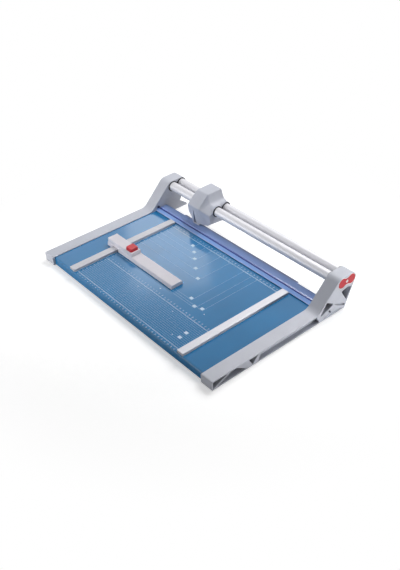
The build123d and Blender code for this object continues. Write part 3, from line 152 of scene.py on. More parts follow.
class NodeSheet:
    """A material's node tree, with short calls that add and join its nodes."""

    def __init__(self, name: str) -> None:
        """Starts a material with its Principled shader.

        Args:
            name: The material's name.
        """
        self.material = bpy.data.materials.new(name)
        self.material.use_nodes = True
        self.tree = self.material.node_tree
        self.shader = self.tree.nodes["Principled BSDF"]

    def add(self, kind: str, **settings: object) -> bpy.types.Node:
        """Adds a node.

        Args:
            kind: Blender's name for the node type.
            **settings: Properties that are set on the node.

        Returns:
            The new node.
        """
        node = self.tree.nodes.new(kind)
        for key, value in settings.items():
            setattr(node, key, value)
        return node

    def join(self, source: bpy.types.NodeSocket, target: bpy.types.NodeSocket) -> None:
        """Links the output socket source to the input socket target."""
        self.tree.links.new(source, target)

    def set(self, **values: object) -> None:
        """Sets constant values on the shader's own sockets, with _ for a space in a name."""
        for key, value in values.items():
            self.shader.inputs[key.replace("_", " ")].default_value = value

    def coordinates(
        self, scale: Triple = (1.0, 1.0, 1.0), shift: Triple = (0.0, 0.0, 0.0)
    ) -> bpy.types.NodeSocket:
        """Reads the piece's own coordinates.

        Args:
            scale: How much each axis is stretched.
            shift: What is added after the stretch.

        Returns:
            The vector socket.
        """
        source = self.add("ShaderNodeTexCoord")
        mapping = self.add("ShaderNodeMapping")
        mapping.inputs["Scale"].default_value = scale
        mapping.inputs["Location"].default_value = shift
        self.join(source.outputs["Object"], mapping.inputs["Vector"])
        return mapping.outputs["Vector"]

    def noise(self, vector: bpy.types.NodeSocket, pattern: Pattern) -> bpy.types.NodeSocket:
        """Adds a noise pattern.

        Args:
            vector: The coordinates it follows.
            pattern: Its fineness and layers.

        Returns:
            The pattern's factor socket.
        """
        texture = self.add("ShaderNodeTexNoise")
        texture.inputs["Scale"].default_value = pattern.fineness
        texture.inputs["Detail"].default_value = pattern.layers
        self.join(vector, texture.inputs["Vector"])
        return texture.outputs["Fac"]

    def colours(self, factor: bpy.types.NodeSocket, colour: Colour, shades: Pair) -> None:
        """Varies the base colour with a pattern.

        Args:
            factor: The pattern.
            colour: The colour.
            shades: Its shares where the pattern is low and where it is high.
        """
        ramp = self.add("ShaderNodeValToRGB")
        start, end = ramp.color_ramp.elements
        start.position, end.position = COLOUR_SPAN
        start.color, end.color = (shade(colour, share) for share in shades)
        self.join(factor, ramp.inputs["Fac"])
        self.join(ramp.outputs["Color"], self.shader.inputs["Base Color"])

    def grime(self, reach: float, left: float) -> None:
        """Paints shade into the base colour deep in recesses, darker where the walls close round.

        Args:
            reach: How far away a wall still counts, in metres.
            left: The share of the colour that is left in the deepest place.
        """
        open_share = (0.05, 0.28)
        # Painted shade: the colour darkens where nearby walls of the piece hide the open.
        hidden = self.add("ShaderNodeAmbientOcclusion", only_local=True, samples=EDGE_RAYS)
        hidden.inputs["Distance"].default_value = reach
        spread = self.add("ShaderNodeMapRange")
        set_ends(spread, Side.READS, open_share)
        spread.inputs["To Min"].default_value = left
        tint = self.add("ShaderNodeMix", data_type="RGBA", blend_type="MULTIPLY")
        tint.inputs["Factor"].default_value = 1.0
        base = self.shader.inputs["Base Color"]
        self.join(base.links[0].from_socket, tint.inputs[MIX_A])
        self.join(hidden.outputs["AO"], spread.inputs["Value"])
        self.join(spread.outputs["Result"], tint.inputs[MIX_B])
        self.join(tint.outputs[MIX_OUT], base)

    def worn_edges(self, patches: bpy.types.NodeSocket, reach: float, pale: Colour) -> None:
        """Lets a paler colour show along outer edges, in patches: edge wear with a painted highlight.

        Args:
            patches: A pattern from 0 to 1 that breaks the worn, highlit edge up.
            reach: The width of the worn edge, in metres.
            pale: The colour that shows there.
        """
        solid_share = (0.95, 0.6)
        # Painted highlight with wear: the colour pales where the solid behind the surface is thin, at
        # outer edges.
        buried = self.add("ShaderNodeAmbientOcclusion", only_local=True, inside=True, samples=EDGE_RAYS)
        buried.inputs["Distance"].default_value = reach
        spread = self.add("ShaderNodeMapRange")
        set_ends(spread, Side.READS, solid_share)
        self.join(buried.outputs["AO"], spread.inputs["Value"])
        share = self.add("ShaderNodeMath", operation="MULTIPLY")
        self.join(spread.outputs["Result"], share.inputs[0])
        self.join(patches, share.inputs[1])
        tint = self.add("ShaderNodeMix", data_type="RGBA")
        tint.inputs[MIX_B].default_value = pale
        base = self.shader.inputs["Base Color"]
        self.join(base.links[0].from_socket, tint.inputs[MIX_A])
        self.join(share.outputs["Value"], tint.inputs["Factor"])
        self.join(tint.outputs[MIX_OUT], base)

    def roughness(self, factor: bpy.types.NodeSocket, rough: float, steps: Pair) -> None:
        """Varies the roughness with a pattern.

        Args:
            factor: The pattern.
            rough: The roughness.
            steps: What is added to it where the pattern is low and where it is high.
        """
        spread = self.add("ShaderNodeMapRange")
        set_ends(spread, Side.GIVES, (rough + step for step in steps))
        self.join(factor, spread.inputs["Value"])
        self.join(spread.outputs["Result"], self.shader.inputs["Roughness"])

    def bump(self, height: bpy.types.NodeSocket, depth: float, strength: float) -> None:
        """Raises the surface by a pattern.

        Args:
            height: The pattern.
            depth: Its height in metres.
            strength: Its share of that height.
        """
        node = self.add("ShaderNodeBump")
        node.inputs["Distance"].default_value = depth
        node.inputs["Strength"].default_value = strength
        self.join(height, node.inputs["Height"])
        self.join(node.outputs["Normal"], self.shader.inputs["Normal"])


@dataclass(frozen=True)
class Finish:
    """What every finish has: a name, a colour and a slot of the record."""

    name: str
    colour: Colour
    slot: str

    def material(self) -> bpy.types.Material:
        """Makes the material the first time that it is asked for.

        Returns:
            The material.
        """
        made = bpy.data.materials.get(self.name)
        if made is None:
            sheet = NodeSheet(self.name)
            self.paint(sheet)
            made = sheet.material
        return made

    def paint(self, sheet: NodeSheet) -> None:
        """Fills the node sheet; each kind of finish has its own way."""
        raise NotImplementedError


@dataclass(frozen=True)
class MouldedPlastic(Finish):
    """Injection-moulded plastic with a fine spark-eroded grain."""

    rough: float = 0.42
    rough_steps: Pair = (-0.05, 0.08)
    clouds: Pattern = Pattern(22.0, 3.0)
    shades: Pair = (0.95, 1.05)
    grain: Pattern = Pattern(2600.0, 2.0)
    grain_depth: float = 0.05 * MM
    grain_strength: float = 0.35
    # Reach of the painted recess shade, and the share of colour left at its darkest.
    recess: float = 30.0 * MM
    recess_left: float = 0.08
    # Width and lightening of the edges, which carry wear and a painted highlight.
    edge: float = 0.9 * MM
    edge_lift: float = 1.3
    edge_patches: Pattern = Pattern(140.0, 2.0)
    index: float = 1.5

    def paint(self, sheet: NodeSheet) -> None:
        """Adds faint clouds in the colour, rubbed edges with a painted highlight, painted shade deep in
        recesses and a fine grain.

        Args:
            sheet: The material's node sheet.
        """
        place = sheet.coordinates()
        cloud = sheet.noise(place, self.clouds)
        grain = sheet.noise(place, self.grain)
        patches = sheet.noise(place, self.edge_patches)
        sheet.colours(cloud, self.colour, self.shades)
        # Edge wear with a painted highlight along outer edges.
        sheet.worn_edges(patches, self.edge, shade(self.colour, self.edge_lift))
        # Painted shade deep in recesses.
        sheet.grime(self.recess, self.recess_left)
        sheet.roughness(grain, self.rough, self.rough_steps)
        sheet.bump(grain, self.grain_depth, self.grain_strength)
        sheet.set(IOR=self.index)


@dataclass(frozen=True)
class BakedEnamel(Finish):
    """Glossy stove paint on steel, with orange peel under a clear top."""

    rough: float = 0.12
    rough_steps: Pair = (0.0, 0.05)
    clouds: Pattern = Pattern(9.0, 4.0)
    shades: Pair = (0.94, 1.06)
    peel: Pattern = Pattern(420.0, 1.0)
    peel_depth: float = 0.02 * MM
    peel_strength: float = 0.3
    # Width and lightening of the edges, which carry wear and a painted highlight.
    edge: float = 0.7 * MM
    edge_lift: float = 1.7
    edge_patches: Pattern = Pattern(90.0, 2.0)
    index: float = 1.5
    coat: float = 0.5
    coat_rough: float = 0.08

    def paint(self, sheet: NodeSheet) -> None:
        """Adds broad clouds, rubbed edges with a painted highlight, orange peel and a clear coat.

        Args:
            sheet: The material's node sheet.
        """
        place = sheet.coordinates()
        cloud = sheet.noise(place, self.clouds)
        peel = sheet.noise(place, self.peel)
        patches = sheet.noise(place, self.edge_patches)
        sheet.colours(cloud, self.colour, self.shades)
        # Edge wear with a painted highlight along outer edges.
        sheet.worn_edges(patches, self.edge, shade(self.colour, self.edge_lift))
        sheet.roughness(cloud, self.rough, self.rough_steps)
        sheet.bump(peel, self.peel_depth, self.peel_strength)
        sheet.set(IOR=self.index, Coat_Weight=self.coat, Coat_Roughness=self.coat_rough)


@dataclass(frozen=True)
class DrawnMetal(Finish):
    """Metal with fine lines in the direction in which it was drawn or ground."""

    axis: Axis = Axis.ALONG_Y
    metal: float = 1.0
    rough: float = 0.3
    rough_steps: Pair = (-0.06, 0.1)
    shades: Pair = (0.95, 1.05)
    lines: Pattern = Pattern(60.0, 4.0)
    line_depth: float = 0.012 * MM
    line_strength: float = 0.25

    def paint(self, sheet: NodeSheet) -> None:
        """Adds lines to the colour, the roughness and the surface.

        Args:
            sheet: The material's node sheet.
        """
        place = sheet.coordinates(self.axis.value)
        line = sheet.noise(place, self.lines)
        sheet.colours(line, self.colour, self.shades)
        sheet.roughness(line, self.rough, self.rough_steps)
        sheet.bump(line, self.line_depth, self.line_strength)
        sheet.set(Metallic=self.metal)


@dataclass(frozen=True)
class TurnedSteel(Finish):
    """Steel that was ground on a wheel, with rings round its axle."""

    centre: Triple = (0.0, 0.0, 0.0)
    rough: float = 0.2
    rough_steps: Pair = (-0.06, 0.1)
    shades: Pair = (0.9, 1.05)
    rings: float = 900.0

    def paint(self, sheet: NodeSheet) -> None:
        """Adds rings round the axle, which runs along X.

        Args:
            sheet: The material's node sheet.
        """
        place = sheet.coordinates((0.0, 1.0, 1.0), (0.0, -self.centre[1], -self.centre[2]))
        radius = sheet.add("ShaderNodeVectorMath", operation="LENGTH")
        sheet.join(place, radius.inputs[0])
        ring = sheet.add("ShaderNodeTexNoise", noise_dimensions="1D")
        ring.inputs["Scale"].default_value = self.rings
        sheet.join(radius.outputs["Value"], ring.inputs["W"])
        sheet.colours(ring.outputs["Fac"], self.colour, self.shades)
        sheet.roughness(ring.outputs["Fac"], self.rough, self.rough_steps)
        sheet.set(Metallic=1.0)


@dataclass(frozen=True)
class PlatedMetal(Finish):
    """Zinc plate or spring steel, with cloudy crystals."""

    rough: float = 0.34
    rough_steps: Pair = (-0.08, 0.1)
    shades: Pair = (0.86, 1.08)
    crystals: Pattern = Pattern(900.0, 3.0)

    def paint(self, sheet: NodeSheet) -> None:
        """Adds cloudy crystals.

        Args:
            sheet: The material's node sheet.
        """
        crystal = sheet.noise(sheet.coordinates(), self.crystals)
        sheet.colours(crystal, self.colour, self.shades)
        sheet.roughness(crystal, self.rough, self.rough_steps)
        sheet.set(Metallic=1.0)


@dataclass(frozen=True)
class SoftRubber(Finish):
    """Matt rubber with a dusty bloom."""

    rough: float = 0.62
    rough_steps: Pair = (0.0, 0.18)
    shades: Pair = (0.8, 1.35)
    bloom: Pattern = Pattern(380.0, 5.0)
    bloom_depth: float = 0.03 * MM
    bloom_strength: float = 0.4

    def paint(self, sheet: NodeSheet) -> None:
        """Adds the bloom and a dry surface.

        Args:
            sheet: The material's node sheet.
        """
        bloom = sheet.noise(sheet.coordinates(), self.bloom)
        sheet.colours(bloom, self.colour, self.shades)
        sheet.roughness(bloom, self.rough, self.rough_steps)
        sheet.bump(bloom, self.bloom_depth, self.bloom_strength)


@dataclass(frozen=True)
class TintedClear(Finish):
    """See-through tinted plastic, extruded along Y."""

    span: Pair = (0.0, 1.0)
    plain: Pair = (0.05, 0.24)
    # Bands of colour across the strip: its tints, and painted highlight and shade where a finish lists
    # them.
    bands: tuple[tuple[float, Colour], ...] = ()
    clear: float = 0.3
    index: float = 1.49
    rough: float = 0.1
    rough_steps: Pair = (0.0, 0.06)
    lines: Pattern = Pattern(14.0, 3.0)

    def paint(self, sheet: NodeSheet) -> None:
        """Adds bands of colour across the strip, which hold its tints and painted light and shade, and
        faint drawing lines along it.

        Args:
            sheet: The material's node sheet.
        """
        axes = sheet.add("ShaderNodeSeparateXYZ")
        sheet.join(sheet.coordinates(), axes.inputs["Vector"])
        across = sheet.add("ShaderNodeMapRange")
        set_ends(across, Side.READS, self.span)
        sheet.join(axes.outputs["X"], across.inputs["Value"])
        ramp = sheet.add("ShaderNodeValToRGB")
        stops = ramp.color_ramp.elements
        first, *between, last = self.bands
        stops[0].position, stops[0].color = first
        stops[1].position, stops[1].color = last
        for position in self.plain:
            stops.new(position).color = self.colour
        for position, colour in between:
            stops.new(position).color = colour
        sheet.join(across.outputs["Result"], ramp.inputs["Fac"])
        sheet.join(ramp.outputs["Color"], sheet.shader.inputs["Base Color"])
        line = sheet.noise(sheet.coordinates(Axis.ALONG_Y.value), self.lines)
        sheet.roughness(line, self.rough, self.rough_steps)
        sheet.set(IOR=self.index, Transmission_Weight=self.clear)


@dataclass(frozen=True)
class PrintedInk(Finish):
    """Screen-printed ink with small thin spots."""

    rough: float = 0.3
    rough_steps: Pair = (0.0, 0.2)
    shades: Pair = (0.88, 1.05)
    spots: Pattern = Pattern(1800.0, 2.0)

    def paint(self, sheet: NodeSheet) -> None:
        """Adds the screen's thin spots.

        Args:
            sheet: The material's node sheet.
        """
        spot = sheet.noise(sheet.coordinates(), self.spots)
        sheet.colours(spot, self.colour, self.shades)
        sheet.roughness(spot, self.rough, self.rough_steps)


BLADE_CENTRE = (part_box("rotary_blade")[0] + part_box("rotary_blade")[1]) / 2
CLAMP_EDGES = (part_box("clamp_strip")[0].x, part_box("clamp_strip")[1].x)

BLUE_ENAMEL = BakedEnamel("blue enamel", tone(19, 113, 167), "blue_paint")
FRAME_GREY = MouldedPlastic("frame grey", tone(190, 193, 203), "light_grey")
HEAD_GREY = MouldedPlastic("head grey", tone(186, 189, 200), "mid_grey")
STOP_GREY = MouldedPlastic("stop grey", tone(209, 206, 213), "warm_grey", shades=(0.97, 1.03))
SHOE_GREY = MouldedPlastic("shoe grey", tone(168, 170, 180), "white_bearing")
SIGNAL_RED = MouldedPlastic("signal red", tone(190, 34, 45), "red", rough=0.3, grain_depth=0.02 * MM)
WHITE_NYLON = MouldedPlastic("white nylon", tone(226, 226, 224), "white_bearing", rough=0.36)
BLACK_PLASTIC = MouldedPlastic("black plastic", tone(38, 38, 42), "black_plastic", shades=(0.85, 1.15))
RAIL_ALUMINIUM = DrawnMetal("rail aluminium", tone(217, 217, 222), "silver", metal=0.35, rough=0.48)
RULER_ALUMINIUM = DrawnMetal(
    "ruler aluminium", tone(193, 193, 199), "silver", axis=Axis.ALONG_X, metal=0.5, rough=0.46
)
BAR_STEEL = DrawnMetal("bar steel", tone(96, 98, 104), "dark_steel", rough=0.42)
KNIFE_STEEL = DrawnMetal("knife steel", tone(190, 192, 196), "ground_steel", rough=0.24)
BLADE_STEEL = TurnedSteel("blade steel", tone(205, 207, 210), "ground_steel", centre=tuple(BLADE_CENTRE))
ZINC_PLATE = PlatedMetal("zinc plate", tone(186, 188, 192), "zinc")
SPRING_STEEL = PlatedMetal("spring steel", tone(150, 152, 158), "spring_steel", rough=0.26)
SEAL_RUBBER = SoftRubber("seal rubber", tone(34, 34, 38), "black_rubber")
CLAMP_BLUE = TintedClear(
    "clamp blue",
    tone(150, 190, 252),
    "clear_blue",
    span=CLAMP_EDGES,
    # From the board-side edge: a painted highlight along that edge, painted shade in the groove at 0.28
    # to 0.36, then the strip's tints.
    bands=(
        (0.0, tone(196, 214, 250)),
        (0.28, tone(50, 68, 164)),
        (0.36, tone(50, 68, 164)),
        (0.42, tone(166, 192, 250)),
        (0.87, tone(170, 198, 250)),
        (0.91, tone(176, 186, 220)),
        (1.0, tone(176, 186, 220)),
    ),
)
PALE_INK = PrintedInk("pale ink", tone(192, 214, 232), "white_bearing")
FAINT_INK = PrintedInk("faint ink", tone(150, 186, 216), "white_bearing")


class Sheet:
    """A mesh that is built up with bmesh operators and becomes one piece."""

    def __init__(self) -> None:
        """Starts an empty mesh."""
        self.bm = bmesh.new()

    def block(self, low: Triple, high: Triple) -> list[bmesh.types.BMVert]:
        """Adds a block between two corners.

        Args:
            low: The lowest corner.
            high: The highest corner.

        Returns:
            The block's vertices.
        """
        centre = (Vector(low) + Vector(high)) / 2
        size = Vector(high) - Vector(low)
        place = Matrix.Translation(centre) @ Matrix.Diagonal((*size, 1.0))
        return bmesh.ops.create_cube(self.bm, size=1.0, matrix=place)["verts"]

    def disc(self, centre: Triple, radius: float, depth: float, corners: int) -> None:
        """Adds a flat disc or a regular polygon.

        Args:
            centre: The middle of its thickness.
            radius: The radius through its corners.
            depth: Its thickness.
            corners: The number of corners.
        """
        place = Matrix.Translation(centre)
        bmesh.ops.create_cone(
            self.bm,
            cap_ends=True,
            segments=corners,
            radius1=radius,
            radius2=radius,
            depth=depth,
            matrix=place,
        )

    def add_mesh(self, mesh: bpy.types.Mesh, place: Matrix) -> None:
        """Adds a copy of a mesh at a place.

        Args:
            mesh: The mesh.
            place: Where the copy goes.
        """
        held = len(self.bm.verts)
        self.bm.from_mesh(mesh)
        self.bm.verts.ensure_lookup_table()
        bmesh.ops.transform(self.bm, matrix=place, verts=self.bm.verts[held:])

    def add_node(self, name: str) -> None:
        """Adds a copy of a node's mesh, with its loose triangles merged."""
        self.bm.from_mesh(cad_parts[name].data)
        bmesh.ops.remove_doubles(self.bm, verts=self.bm.verts, dist=WELD)

    def piece(self, name: str, finish: Finish, body: Body) -> bpy.types.Object:
        """Turns the mesh into a piece that rides on a body.

        Args:
            name: The piece's name.
            finish: Its finish.
            body: The body that it moves with.

        Returns:
            The piece.
        """
        mesh = bpy.data.meshes.new(name)
        bmesh.ops.recalc_face_normals(self.bm, faces=self.bm.faces)
        self.bm.to_mesh(mesh)
        self.bm.free()
        mesh.materials.append(finish.material())
        made = bpy.data.objects.new(name, mesh)
        bpy.context.scene.collection.objects.link(made)
        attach(made, body.value)
        LOG.info("%s: %d faces, rides %s", name, len(mesh.polygons), body.value)
        return made


class Figures:
    """The digits of the scales, each made a mesh once."""

    def __init__(self, height: float, thickness: float) -> None:
        """Makes the ten digits.

        Args:
            height: A digit's height.
            thickness: The ink's thickness.
        """
        pitch_share = 0.62
        self.pitch = height * pitch_share
        self.glyphs = {digit: self._glyph(digit, height, thickness) for digit in "0123456789"}

    @staticmethod
    def _glyph(digit: str, height: float, thickness: float) -> bpy.types.Mesh:
        """Makes one digit a thin mesh.

        Args:
            digit: The digit.
            height: Its height.
            thickness: The ink's thickness.

        Returns:
            The mesh, centred on the origin.
        """
        cap_share = 1.45
        curve_steps = 2
        text = bpy.data.curves.new("digit", "FONT")
        text.body = digit
        text.size = height * cap_share
        text.extrude = thickness / 2
        text.resolution_u = curve_steps
        text.align_x = "CENTER"
        text.align_y = "CENTER"
        holder = bpy.data.objects.new("digit", text)
        bpy.context.scene.collection.objects.link(holder)
        graph = bpy.context.evaluated_depsgraph_get()
        mesh = bpy.data.meshes.new_from_object(holder.evaluated_get(graph))
        bpy.data.objects.remove(holder)
        bpy.data.curves.remove(text)
        bm = bmesh.new()
        bm.from_mesh(mesh)
        bmesh.ops.remove_doubles(bm, verts=bm.verts, dist=WELD)
        bmesh.ops.dissolve_degenerate(bm, edges=bm.edges, dist=WELD)
        bm.to_mesh(mesh)
        bm.free()
        return mesh

    def write(self, sheet: Sheet, number: int, place: Vector) -> None:
        """Writes a number, read by someone who looks along +Y.

        Args:
            sheet: The mesh that takes the digits.
            number: The number.
            place: Its middle.
        """
        digits = str(number)
        start = -self.pitch * (len(digits) - 1) / 2
        for index, digit in enumerate(digits):
            step = Vector((start + index * self.pitch, 0.0, 0.0))
            sheet.add_mesh(self.glyphs[digit], Matrix.Translation(place + step))


@dataclass
class SubAssembly:
    """A group of nodes with their finishes, and the pieces that are added to it."""

    finishes: dict[str, Finish]

    def dress(self) -> None:
        """Gives each node of the group its finish."""
        for name, finish in self.finishes.items():
            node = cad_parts[name]
            node.data.materials.clear()
            node.data.materials.append(finish.material())
            LOG.info("%s: %s", name, finish.name)

    def build(self) -> Iterable[bpy.types.Object]:
        """Builds the pieces that the group adds; most add none."""
        return ()


@dataclass(frozen=True)
class Leaf:
    """A leaf spring under a pressed piece, built as a merged copy of its node's shape."""

    name: str
    node: str
    joint: str
    body: Body
    finish: Finish = SPRING_STEEL
    slack: float = 0.01

    def build(self) -> bpy.types.Object:
        """Builds the spring from its node's shape.

        Returns:
            The spring, which stands for the node.
        """
        low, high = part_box(self.node)
        sheet = Sheet()
        sheet.add_node(self.node)
        leaf = sheet.piece(self.name, self.finish, self.body)
        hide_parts(self.node)
        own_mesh(leaf)
        return leaf


@dataclass
class Table(SubAssembly):
    """The blue board, its stiffeners and the lower knife."""

    finishes: dict[str, Finish] = field(
        default_factory=lambda: {
            "board": BLUE_ENAMEL,
            "stiffeners": BAR_STEEL,
            "lower_knife": KNIFE_STEEL,
            "knife_bar": BAR_STEEL,
            "knife_screws": ZINC_PLATE,
            "bar_screws": ZINC_PLATE,
            "board_studs": ZINC_PLATE,
        }
    )


@dataclass
class BoardPrint(SubAssembly):
    """The scales, format frames and labels that are printed on the board."""

    finishes: dict[str, Finish] = field(default_factory=dict)
    ink: float = 0.03 * MM
    sunk: float = 0.02 * MM
    line: float = 0.55 * MM
    fine_line: float = 0.32 * MM
    tick_width: float = 0.3 * MM
    ticks: Triple = (1.8 * MM, 2.8 * MM, 4.2 * MM)
    middle_count: int = 5
    long_count: int = 10
    digit_height: float = 3.0 * MM
    digit_gap: float = 2.8 * MM
    front_reach: float = 320.0 * MM
    middle_reach: float = 245.0 * MM
    cut_reach: float = 53.5 * MM
    fine_step: float = 5.0 * MM
    ruler_gap: float = 2.0 * MM
    label_size: Pair = (7.0 * MM, 8.5 * MM)
    label_gap: float = 1.0 * MM
    formats: tuple[Pair, ...] = (
        (74.0, 105.0),
        (88.9, 127.0),
        (105.0, 148.0),
        (127.0, 177.8),
        (148.0, 210.0),
        (203.2, 254.0),
        (215.9, 279.4),
        (210.0, 297.0),
    )
    corner_labels: tuple[Pair, ...] = ((278.5, 328.4), (296.4, 329.8))
    dots: tuple[Pair, ...] = ((255.8, 138.4), (255.8, 256.7), (302.2, 313.2), (214.4, 308.4))
    dot_radius: float = 1.2 * MM
    dot_corners: int = 16
    pointer: Pair = (225.8, 177.6)
    pointer_radius: float = 2.6 * MM
    pointer_corners: int = 3

    def __post_init__(self) -> None:
        """Reads the board, the rulers and the cutting edge from the frame."""
        self.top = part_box("board")[1].z
        self.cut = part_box("lower_knife")[1].x
        self.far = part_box("far_ruler")[0].y
        self.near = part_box("near_ruler")[1].y
        self.table_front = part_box("far_ruler")[0].x
        self.figures = Figures(self.digit_height, self.ink)

    def stroke(self, sheet: Sheet, start: Pair, end: Pair, width: float) -> None:
        """Draws a straight line along X or Y.

        Args:
            sheet: The mesh that takes it.
            start: Its lower end.
            end: Its upper end.
            width: Its width.
        """
        half = width / 2
        across = (half, 0.0) if start[0] == end[0] else (0.0, half)
        low = (start[0] - across[0], start[1] - across[1], self.top - self.sunk)
        high = (end[0] + across[0], end[1] + across[1], self.top + self.ink)
        sheet.block(low, high)

    def full_line(self, sheet: Sheet, x: float, width: float) -> None:
        """Draws a line of a width from one ruler to the other, at x."""
        self.stroke(sheet, (x, self.near + self.ruler_gap), (x, self.far - self.ruler_gap), width)

    def tick_length(self, count: int) -> float:
        """Gives the length of a millimetre's tick: ten and five are longer.

        Args:
            count: The millimetre.

        Returns:
            The length.
        """
        short, middle, long = self.ticks
        if count % self.long_count == 0:
            return long
        return middle if count % self.middle_count == 0 else short

    def number(self, numbers: Sheet, count: int, x: float, y: float) -> None:
        """Writes the number of a long tick, in centimetres; other ticks have none.

        Args:
            numbers: The mesh that takes the digits.
            count: The tick's millimetre.
            x: The number's middle across the board.
            y: The number's middle along the cut.
        """
        if count % self.long_count == 0:
            place = Vector((x, y, self.top + self.ink / 2))
            self.figures.write(numbers, count // self.long_count, place)

    def scale_along_y(self, lines: Sheet, numbers: Sheet, x: float, side: int) -> None:
        """Draws a scale that counts millimetres from the far ruler.

        Args:
            lines: The mesh that takes the line and its ticks.
            numbers: The mesh that takes the digits.
            x: The line's place.
            side: 1 where the ticks are on the +X side, and -1 on the other.
        """
        self.full_line(lines, x, self.line)
        whole = int((self.far - self.near) / MM)
        for count in range(self.fine_start(), whole - self.fine_start()):
            y = self.far - count * MM
            tip = x + side * self.tick_length(count)
            self.stroke(lines, (min(x, tip), y), (max(x, tip), y), self.tick_width)
            self.number(numbers, count, tip + side * self.digit_gap, y)

    def fine_start(self) -> int:
        """Gives the first millimetre that clears a ruler."""
        return int(self.ruler_gap / MM) + 1

    def scale_along_ruler(self, lines: Sheet, numbers: Sheet) -> None:
        """Draws the scale beside the far ruler, which counts from the cutting edge.

        Args:
            lines: The mesh that takes the ticks.
            numbers: The mesh that takes the digits.
        """
        first = int(self.cut_reach / MM)
        last = int((self.cut - self.table_front) / MM)
        for count in range(first, last):
            x = self.cut - count * MM
            foot = self.far - self.tick_length(count)
            self.stroke(lines, (x, foot), (x, self.far), self.tick_width)
            self.number(numbers, count, x, foot - self.digit_gap)

    def format_frame(self, lines: Sheet, labels: Sheet, size: Pair) -> None:
        """Draws two sides of a paper format and the label in its corner.

        Args:
            lines: The mesh that takes the lines.
            labels: The mesh that takes the label.
            size: The format's size from the cutting edge and from the far ruler, in millimetres.
        """
        x = self.cut - size[0] * MM
        y = self.far - size[1] * MM
        self.stroke(lines, (x, y), (x, self.far - self.ruler_gap), self.line)
        self.stroke(lines, (x, y), (self.cut - self.cut_reach, y), self.line)
        low = (x + self.label_gap, y + self.label_gap, self.top - self.sunk)
        high = (low[0] + self.label_size[0], low[1] + self.label_size[1], self.top + self.ink)
        labels.block(low, high)

    def at(self, reach: Pair) -> Triple:
        """Gives the middle of the ink at a place on the board.

        Args:
            reach: The place's distances from the cutting edge and from the far ruler, in millimetres.

        Returns:
            The place.
        """
        return (self.cut - reach[0] * MM, self.far - reach[1] * MM, self.top + (self.ink - self.sunk) / 2)

    def small_marks(self, marks: Sheet) -> None:
        """Draws the two labels in the board's front corner, the dots and the pointer.

        Args:
            marks: The mesh that takes them.
        """
        thickness = self.ink + self.sunk
        half = Vector((*self.label_size, thickness)) / 2
        for reach in self.corner_labels:
            middle = Vector(self.at(reach))
            marks.block(tuple(middle - half), tuple(middle + half))
        for reach in self.dots:
            marks.disc(self.at(reach), self.dot_radius, thickness, self.dot_corners)
        marks.disc(self.at(self.pointer), self.pointer_radius, thickness, self.pointer_corners)

    def build(self) -> Iterable[bpy.types.Object]:
        """Builds the print.

        Yields:
            Each printed piece.
        """
        lines, numbers, frames, labels = Sheet(), Sheet(), Sheet(), Sheet()
        self.scale_along_y(lines, numbers, self.cut - self.front_reach, -1)
        self.scale_along_y(lines, numbers, self.cut - self.middle_reach, 1)
        self.scale_along_y(lines, numbers, self.cut - self.cut_reach, 1)
        self.scale_along_ruler(lines, numbers)
        steps = round((self.front_reach - self.middle_reach) / self.fine_step)
        for index in range(1, steps):
            x = self.cut - self.middle_reach - index * self.fine_step
            self.full_line(frames, x, self.fine_line)
        for size in self.formats:
            self.format_frame(frames, labels, size)
        self.small_marks(labels)
        yield lines.piece("board_scales", PALE_INK, Body.BASE)
        yield numbers.piece("board_numbers", PALE_INK, Body.BASE)
        yield frames.piece("format_frames", FAINT_INK, Body.BASE)
        yield labels.piece("format_labels", PALE_INK, Body.BASE)


@dataclass
class EndFrames(SubAssembly):
    """The two moulded end frames with their caps, seals and feet."""

    finishes: dict[str, Finish] = field(
        default_factory=lambda: {
            "near_frame": FRAME_GREY,
            "far_frame": FRAME_GREY,
            "near_cap": SIGNAL_RED,
            "far_cap": SIGNAL_RED,
            "cap_rims": WHITE_NYLON,
            "cap_pins": WHITE_NYLON,
            "frame_seals": SEAL_RUBBER,
            "feet": SEAL_RUBBER,
        }
    )


@dataclass
class GuideRails(SubAssembly):
    """The two tubes, and the plugs and bolts in their ends."""

    finishes: dict[str, Finish] = field(
        default_factory=lambda: {
            "front_rail": RAIL_ALUMINIUM,
            "rear_rail": RAIL_ALUMINIUM,
            "rail_plugs": ZINC_PLATE,
            "rail_bolts": ZINC_PLATE,
        }
    )


@dataclass
class SquaringRulers(SubAssembly):
    """The two rulers that square the paper to the cut."""

    finishes: dict[str, Finish] = field(
        default_factory=lambda: {
            "near_ruler": RULER_ALUMINIUM,
            "far_ruler": RULER_ALUMINIUM,
            "ruler_screws": ZINC_PLATE,
        }
    )


@dataclass
class PaperClamp(SubAssembly):
    """The see-through strip that holds the paper, and its springs."""

    finishes: dict[str, Finish] = field(
        default_factory=lambda: {
            "clamp_strip": CLAMP_BLUE,
            "clamp_springs": SPRING_STEEL,
        }
    )

    def build(self) -> Iterable[bpy.types.Object]:
        """Builds the leaf springs under the strip."""
        yield Leaf("clamp_leaves", "clamp_springs", "clamp_press", Body.BASE).build()


